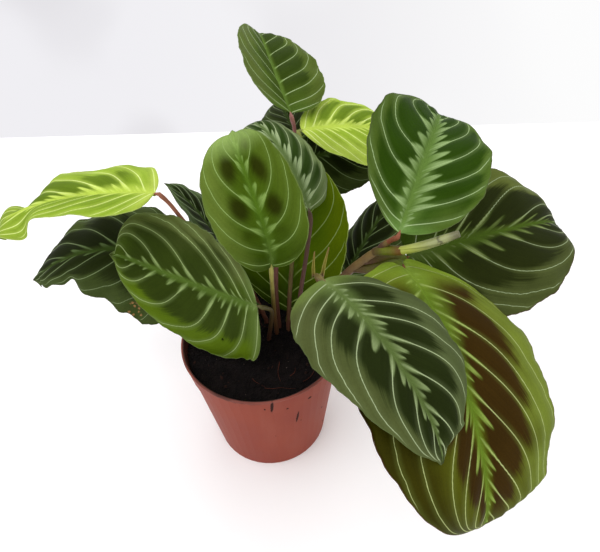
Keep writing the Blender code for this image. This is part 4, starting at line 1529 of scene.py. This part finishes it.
@dataclass
class Pot:
    """The plastic nursery pot: its finish, the rounded lip and the soil stuck to it."""

    rim_radius: float = 60.0
    height: float = 110.0
    lip: float = 1.1
    sides: int = 144
    wall: float = 1.6
    base_radius: float = 45.5
    inner_dirt: float = 98.0       # height above which soil clings to the inner wall

    def finish(self, name: str, gloss: float) -> bpy.types.Material:
        """Make the matt terracotta-coloured plastic, with smears, scuffs and specks.

        Args:
            name: Name of the material.
            gloss: Its specular level.

        Returns:
            The material.
        """
        b = Skin(name, gloss)
        place = b.place()
        x, y, height = b.split(place)
        cloud, fine = b.noise(place, 22.0, 4.0), b.noise(place, 1400.0)
        drag = b.noise(b.stretch(place, 60.0, 60.0, 9.0), 1.0, 4.0)
        grain = b.get("ShaderNodeTexVoronoi", {"Vector": place, "Scale": 120.0}, "Distance")
        speck = grain.step(0.075, 0.045) * b.noise(place, 60.0).step(0.60, 0.66)
        edge = height + b.noise(place, 240.0, 3.0) * 0.005
        smear = edge.step(0.1095, 0.1125) * cloud.step(0.40, 0.6)
        slope = (self.rim_radius - self.base_radius) / self.height
        radius = b.hypot(x, y) + (self.height * MM - height) * slope
        rim = (self.rim_radius - self.wall * 0.5) * MM
        inner = (radius.step(rim + 0.0002, rim - 0.0004)
                 * height.step((self.inner_dirt - 2) * MM, self.inner_dirt * MM))
        dirt = speck | smear * 0.85 | inner * 0.88
        wobble = (b.noise(place, 900.0) - 0.5) * 1.1
        around = b.math("ARCTAN2", y, x)
        for angle, level, wide, tall, slant in POT_MARKS:
            up = (height - level * MM) * (1 / (tall * MM))
            aside = (around - math.radians(angle)) * ((self.rim_radius - 4) / wide) + up * slant
            dirt = dirt | (b.hypot(aside, up) + wobble).step(1.25, 0.75)
        colour = b.layers((131, 54, 37), (cloud.step(0.3, 0.75), (139, 63, 44)),
                          (drag.step(0.5, 0.8) * 0.4, (148, 78, 60)),
                          (height.step(0.07, 0.0) * 0.35, (134, 52, 34)), (dirt, (44, 20, 15)))
        return b.done(b.shade(colour, fine * 0.12 + 0.94), cloud * 0.18 + 0.42 + dirt * 0.3,
                      fine * 0.35 + drag * 0.3 + dirt, 0.00015)

    def dress(self) -> list[bpy.types.Object]:
        """Finish the CAD pot and lay the rounded lip on its rim.

        Returns:
            The lip, alone in a list.
        """
        finish_node("pot", self.finish("terracotta plastic", 0.12))
        angle = np.linspace(0, 2 * math.pi, 17)[-2::-1]
        reach = self.rim_radius - self.lip + 0.35 + self.lip * np.cos(angle)
        level = self.height + self.lip * np.sin(angle) * 0.8 - 0.25
        rings = [np.stack([reach * math.cos(turn), reach * math.sin(turn), level], axis=-1)
                 for turn in 2 * math.pi * np.arange(self.sides) / self.sides]
        finish = self.finish("terracotta plastic of the lip", 0.5)
        return [new_piece("pot_lip", loft("pot_lip", rings), "pot", "", finish)]


# Root bits on the soil at the front

ROOTS = (((1.8, -42.5), (7.0, -43.2), (13.4, -42.6), (18.0, -43.6), (23.6, -44.2)),
         ((12.7, -20.1), (11.4, -29.0), (13.1, -37.0)),
         ((29.1, -39.0), (32.0, -37.5), (35.7, -34.2), (38.2, -29.1)),
         ((20.0, -33.0), (23.5, -30.0), (24.0, -26.0)))


def crumb_tree() -> bpy.types.NodeTree:
    """Build the geometry tree that scatters uneven crumbs over a surface.

    Returns:
        The tree.
    """
    b, given, taken = new_group(
        "crumbs", "GeometryNodeTree",
        {"Ground": "Geometry", "Density": 1000.0, "Smallest": 0.0004, "Largest": 0.0016,
         "Flatness": 0.6, "Seed": 1, "Finish": "Material"}, {"Crumbs": "Geometry"})
    points = b.get("GeometryNodeDistributePointsOnFaces", {
        "Mesh": given["Ground"], "Density": given["Density"], "Seed": given["Seed"]})
    grain = b.get("GeometryNodeMeshIcoSphere", {"Radius": 1.0, "Subdivisions": 1})
    turn = b.get("FunctionNodeRandomValue", {1: (6.28, 6.28, 6.28), "Seed": given["Seed"]},
                 data_type="FLOAT_VECTOR")
    size = b.get("FunctionNodeRandomValue", {2: given["Smallest"], 3: given["Largest"]}, 1,
                 data_type="FLOAT")
    low = b.get("ShaderNodeCombineXYZ", {axis: given["Flatness"] for axis in range(3)})
    stretch = b.get("FunctionNodeRandomValue", {0: low, 1: (1.0, 1.0, 1.0)}, data_type="FLOAT_VECTOR")
    scaled = b.get("ShaderNodeVectorMath", {0: stretch, "Scale": size}, operation="SCALE")
    placed = b.get("GeometryNodeInstanceOnPoints", {
        "Points": points, "Instance": grain, "Rotation": turn, "Scale": scaled})
    whole = b.get("GeometryNodeRealizeInstances", {"Geometry": placed})
    b.feed(taken[0], b.get("GeometryNodeSetMaterial", {"Geometry": whole, "Material": given["Finish"]}))
    return b.tree


@dataclass
class Soil:
    """The moist potting mix: its finish, crumbs, pale grains and root bits."""

    sweeper: Sweeper
    top: float = 102.0
    unevenness: float = 1.0
    wave_x: float = 9.0
    wave_y: float = 11.0
    radius: float = 56.6
    rings: int = 22
    sides: int = 96

    def height(self, x: float, y: float) -> float:
        """Return the height of the uneven soil at a place."""
        return self.top + self.unevenness * math.sin(x / self.wave_x) * math.cos(y / self.wave_y)

    def ground(self, name: str, radius: float) -> bpy.types.Object:
        """Make a sheet over the soil's top, for the crumbs to lie on.

        Args:
            name: Name of the sheet.
            radius: Its radius.

        Returns:
            The sheet.
        """
        places = [(0.0, 0.0, self.height(0, 0))]
        faces = []
        for ring in range(1, self.rings + 1):
            reach = radius * ring / self.rings
            for number in range(self.sides):
                angle = 2 * math.pi * number / self.sides
                x, y = reach * math.cos(angle), reach * math.sin(angle)
                places.append((x, y, self.height(x, y)))
        for number in range(self.sides):
            after = (number + 1) % self.sides
            faces.append((0, 1 + number, 1 + after))
            for low in range(1, 1 + (self.rings - 1) * self.sides, self.sides):
                high = low + self.sides
                faces.append((low + number, high + number, high + after, low + after))
        return new_object(name, mesh_of(name, np.array(places), faces))

    def peat(self, name: str, first: Colour, second: Colour) -> bpy.types.Material:
        """Make a crumbly finish between two colours.

        Args:
            name: Name of the material.
            first: The darker colour.
            second: The lighter colour.

        Returns:
            The material.
        """
        b = Skin(name, 0.12)
        cloud, grit = b.noise(b.place(), 160.0, 4.0), b.noise(b.place(), 1500.0, 3.0)
        colour = b.shade(b.mix(cloud.step(0.35, 0.7), first, second), grit * 1.1 + 0.45)
        return b.done(colour, grit * 0.3 + 0.7, cloud * 0.5 + grit, 0.0012)

    def dress(self) -> list[bpy.types.Object]:
        """Finish the CAD soil and scatter what lies on it.

        Returns:
            The crumbs, bark bits, pale grains and root bits.
        """
        dark = self.peat("peat", (14, 10, 10), (24, 18, 17))
        finish_node("soil", dark)
        tree = crumb_tree()
        pieces = []
        for name, density, smallest, largest, flatness, seed, finish, radius in (
                ("soil_crumbs", 420000.0, 0.0004, 0.0015, 0.5, 3, dark, self.radius),
                ("soil_bark", 9000.0, 0.0007, 0.0022, 0.15, 11,
                 self.peat("bark bits", (34, 22, 18), (52, 32, 26)), self.radius - 3),
                ("soil_grains", 5000.0, 0.0002, 0.0005, 0.6, 23,
                 self.peat("pale grains", (84, 70, 64), (116, 102, 96)), self.radius - 2)):
            mesh = baked(self.ground(name, radius), tree, {
                "Density": density, "Smallest": smallest, "Largest": largest, "Flatness": flatness,
                "Seed": seed, "Finish": finish})
            pieces.append(new_piece(name, mesh, "soil"))
        return [*pieces, new_piece("soil_roots", joined("soil_roots", self.roots()), "soil")]

    def roots(self) -> list[bpy.types.Mesh]:
        """Lay thin reddish root bits on the soil.

        Returns:
            One mesh for each.
        """
        finish = self.peat("root bits", (74, 38, 28), (98, 54, 40))
        chance = np.random.default_rng(8)
        lines = []
        for route in ROOTS:
            line = smooth_route(tuple((x, y, self.height(x, y) + 1.1) for x, y in route), 5)
            lines.append((line, np.linspace(0.24, 0.10, len(line))))
        for number in range(7):
            reach = 50 * math.sqrt(chance.uniform(0.05, 1.0))
            around = chance.uniform(0, 2 * math.pi)
            x, y = reach * math.cos(around), reach * math.sin(around)
            way = chance.uniform(0, 2 * math.pi)
            points = []
            for step in range(9):
                points.append((x, y, self.height(x, y) + 0.9 + 0.4 * math.sin(step)))
                way += chance.uniform(-0.35, 0.35)
                x += 1.5 * math.cos(way)
                y += 1.5 * math.sin(way)
                if math.hypot(x, y) > self.radius - 2:
                    break
            if len(points) > 3:
                lines.append((points, np.linspace(0.20, 0.08, len(points))))
        return [self.sweeper.sweep("root", line, radii, finish, 6) for line, radii in lines]


# Stage

@dataclass
class Studio:
    """Camera, pale table, backdrop and soft light."""

    camera_place: tuple = (31.17, -278.30, 437.32)
    pitch: float = 43.9
    roll: float = -3.2
    lens: float = 34.2
    table_edge: tuple = (495.5, -0.057)    # how far back the table ends, and its slope
    table_reach: float = 2500.0
    lamps: tuple = (               # name, place and aim in metres, size, power and colour
        ("key", (-0.6, -0.5, 1.5), (0.0, 0.0, 0.15), 1.1, 8.0, (1.0, 0.99, 0.97)),
        ("fill", (0.9, -0.9, 1.1), (0.0, 0.0, 0.15), 1.4, 2.0, (0.97, 0.98, 1.0)),
        ("back", (0.1, 1.1, 1.3), (0.0, 0.1, 0.15), 1.2, 4.0, (1.0, 1.0, 1.0)))

    def camera(self) -> None:
        """Place the camera at the photograph's viewing angle."""
        pitch, roll = math.radians(self.pitch), math.radians(self.roll)
        ahead = Vector((0.0, math.cos(pitch), -math.sin(pitch)))
        right = Vector((1.0, 0.0, 0.0))
        up = right.cross(ahead)
        x = right * math.cos(roll) + up * math.sin(roll)
        y = up * math.cos(roll) - right * math.sin(roll)
        data = bpy.data.cameras.new("camera")
        data.lens = self.lens
        data.sensor_width = 36.0
        data.clip_start = 0.01
        camera = new_object("camera", data)
        camera.matrix_world = (Matrix.Translation(Vector(self.camera_place) * MM)
                               @ Matrix((x, y, -ahead)).transposed().to_4x4())
        bpy.context.scene.camera = camera

    def table(self) -> None:
        """Lay the pale table, with a faint painted glow that lightens the shadows on it."""
        b = Skin("pale table")
        cloud = b.noise(b.place(), 6.0, 3.0)
        # The faint emission is painted light: the table glows to soften the shadows cast on it.
        for name, value in (("Base Color", b.mix(cloud, (246, 244, 245), (250, 249, 249))),
                            ("Roughness", 0.6), ("Emission Color", (255, 250, 250)),
                            ("Emission Strength", 0.10)):
            b.feed(b.shader.inputs[name], value)
        (back, slope), wide = self.table_edge, self.table_reach
        corners = [(-wide, -wide, 0), (wide, -wide, 0), (wide, back + slope * wide, 0),
                   (-wide, back - slope * wide, 0)]
        new_object("table", mesh_of("table", np.array(corners), [(0, 1, 2, 3)], False), b.made)

    def light(self) -> None:
        """Light the scene softly from above and from the left, before a pale wall."""
        for name, place, aim, size, power, colour in self.lamps:
            data = bpy.data.lights.new(name, "AREA")
            data.size = size
            data.energy = power
            data.color = colour
            lamp = new_object(name, data)
            lamp.location = place
            lamp.rotation_euler = (Vector(aim) - Vector(place)).to_track_quat("-Z", "Y").to_euler()
        world = bpy.data.worlds.new("room")
        world.use_nodes = True
        b = Bench(world.node_tree)
        around = b.get("ShaderNodeTexCoord", None, "Generated")
        x, _, z = b.split(around)
        aside = x.step(-0.35, 0.55)
        shadow = b.noise(around, 3.0).step(0.55, 0.40) * aside.between(0.6, 0.0)
        wall = b.mix(shadow, b.mix(aside, (240, 239, 243), (253, 253, 253)), (222, 220, 224))
        backdrop = b.tree.nodes["Background"]
        b.feed(backdrop.inputs["Color"], wall)
        b.feed(backdrop.inputs["Strength"], z.step(0.1, 0.9).between(1.0, 1.12))
        bpy.context.scene.world = world


def main() -> None:
    logging.basicConfig(level=logging.INFO, format="%(message)s")
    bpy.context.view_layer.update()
    bpy.context.scene.view_settings.view_transform = "Standard"
    studio = Studio()
    studio.camera()
    studio.table()
    studio.light()
    sweeper = Sweeper()
    pieces = [*Pot().dress(), *Soil(sweeper).dress()]
    stalks = Stalks(sweeper, StalkPattern("stalk streaks", StalkFinish(), 0.2, 0.0002))
    foliage = Foliage(BladePattern("blade pattern", BladeFinish(), 0.02, 0.00045))
    for leaf in LEAVES:
        pieces.append(foliage.build(leaf))
        if not leaf.on_stem:
            pieces.append(stalks.build(leaf))
    crown = Crown(stalks)
    pieces += [crown.stem(), crown.rolled_leaf(), *crown.sheaths()]
    for piece in pieces:
        log.info("piece %s, %d faces", piece.name, len(piece.data.polygons))


if __name__ == "__main__":
    main()
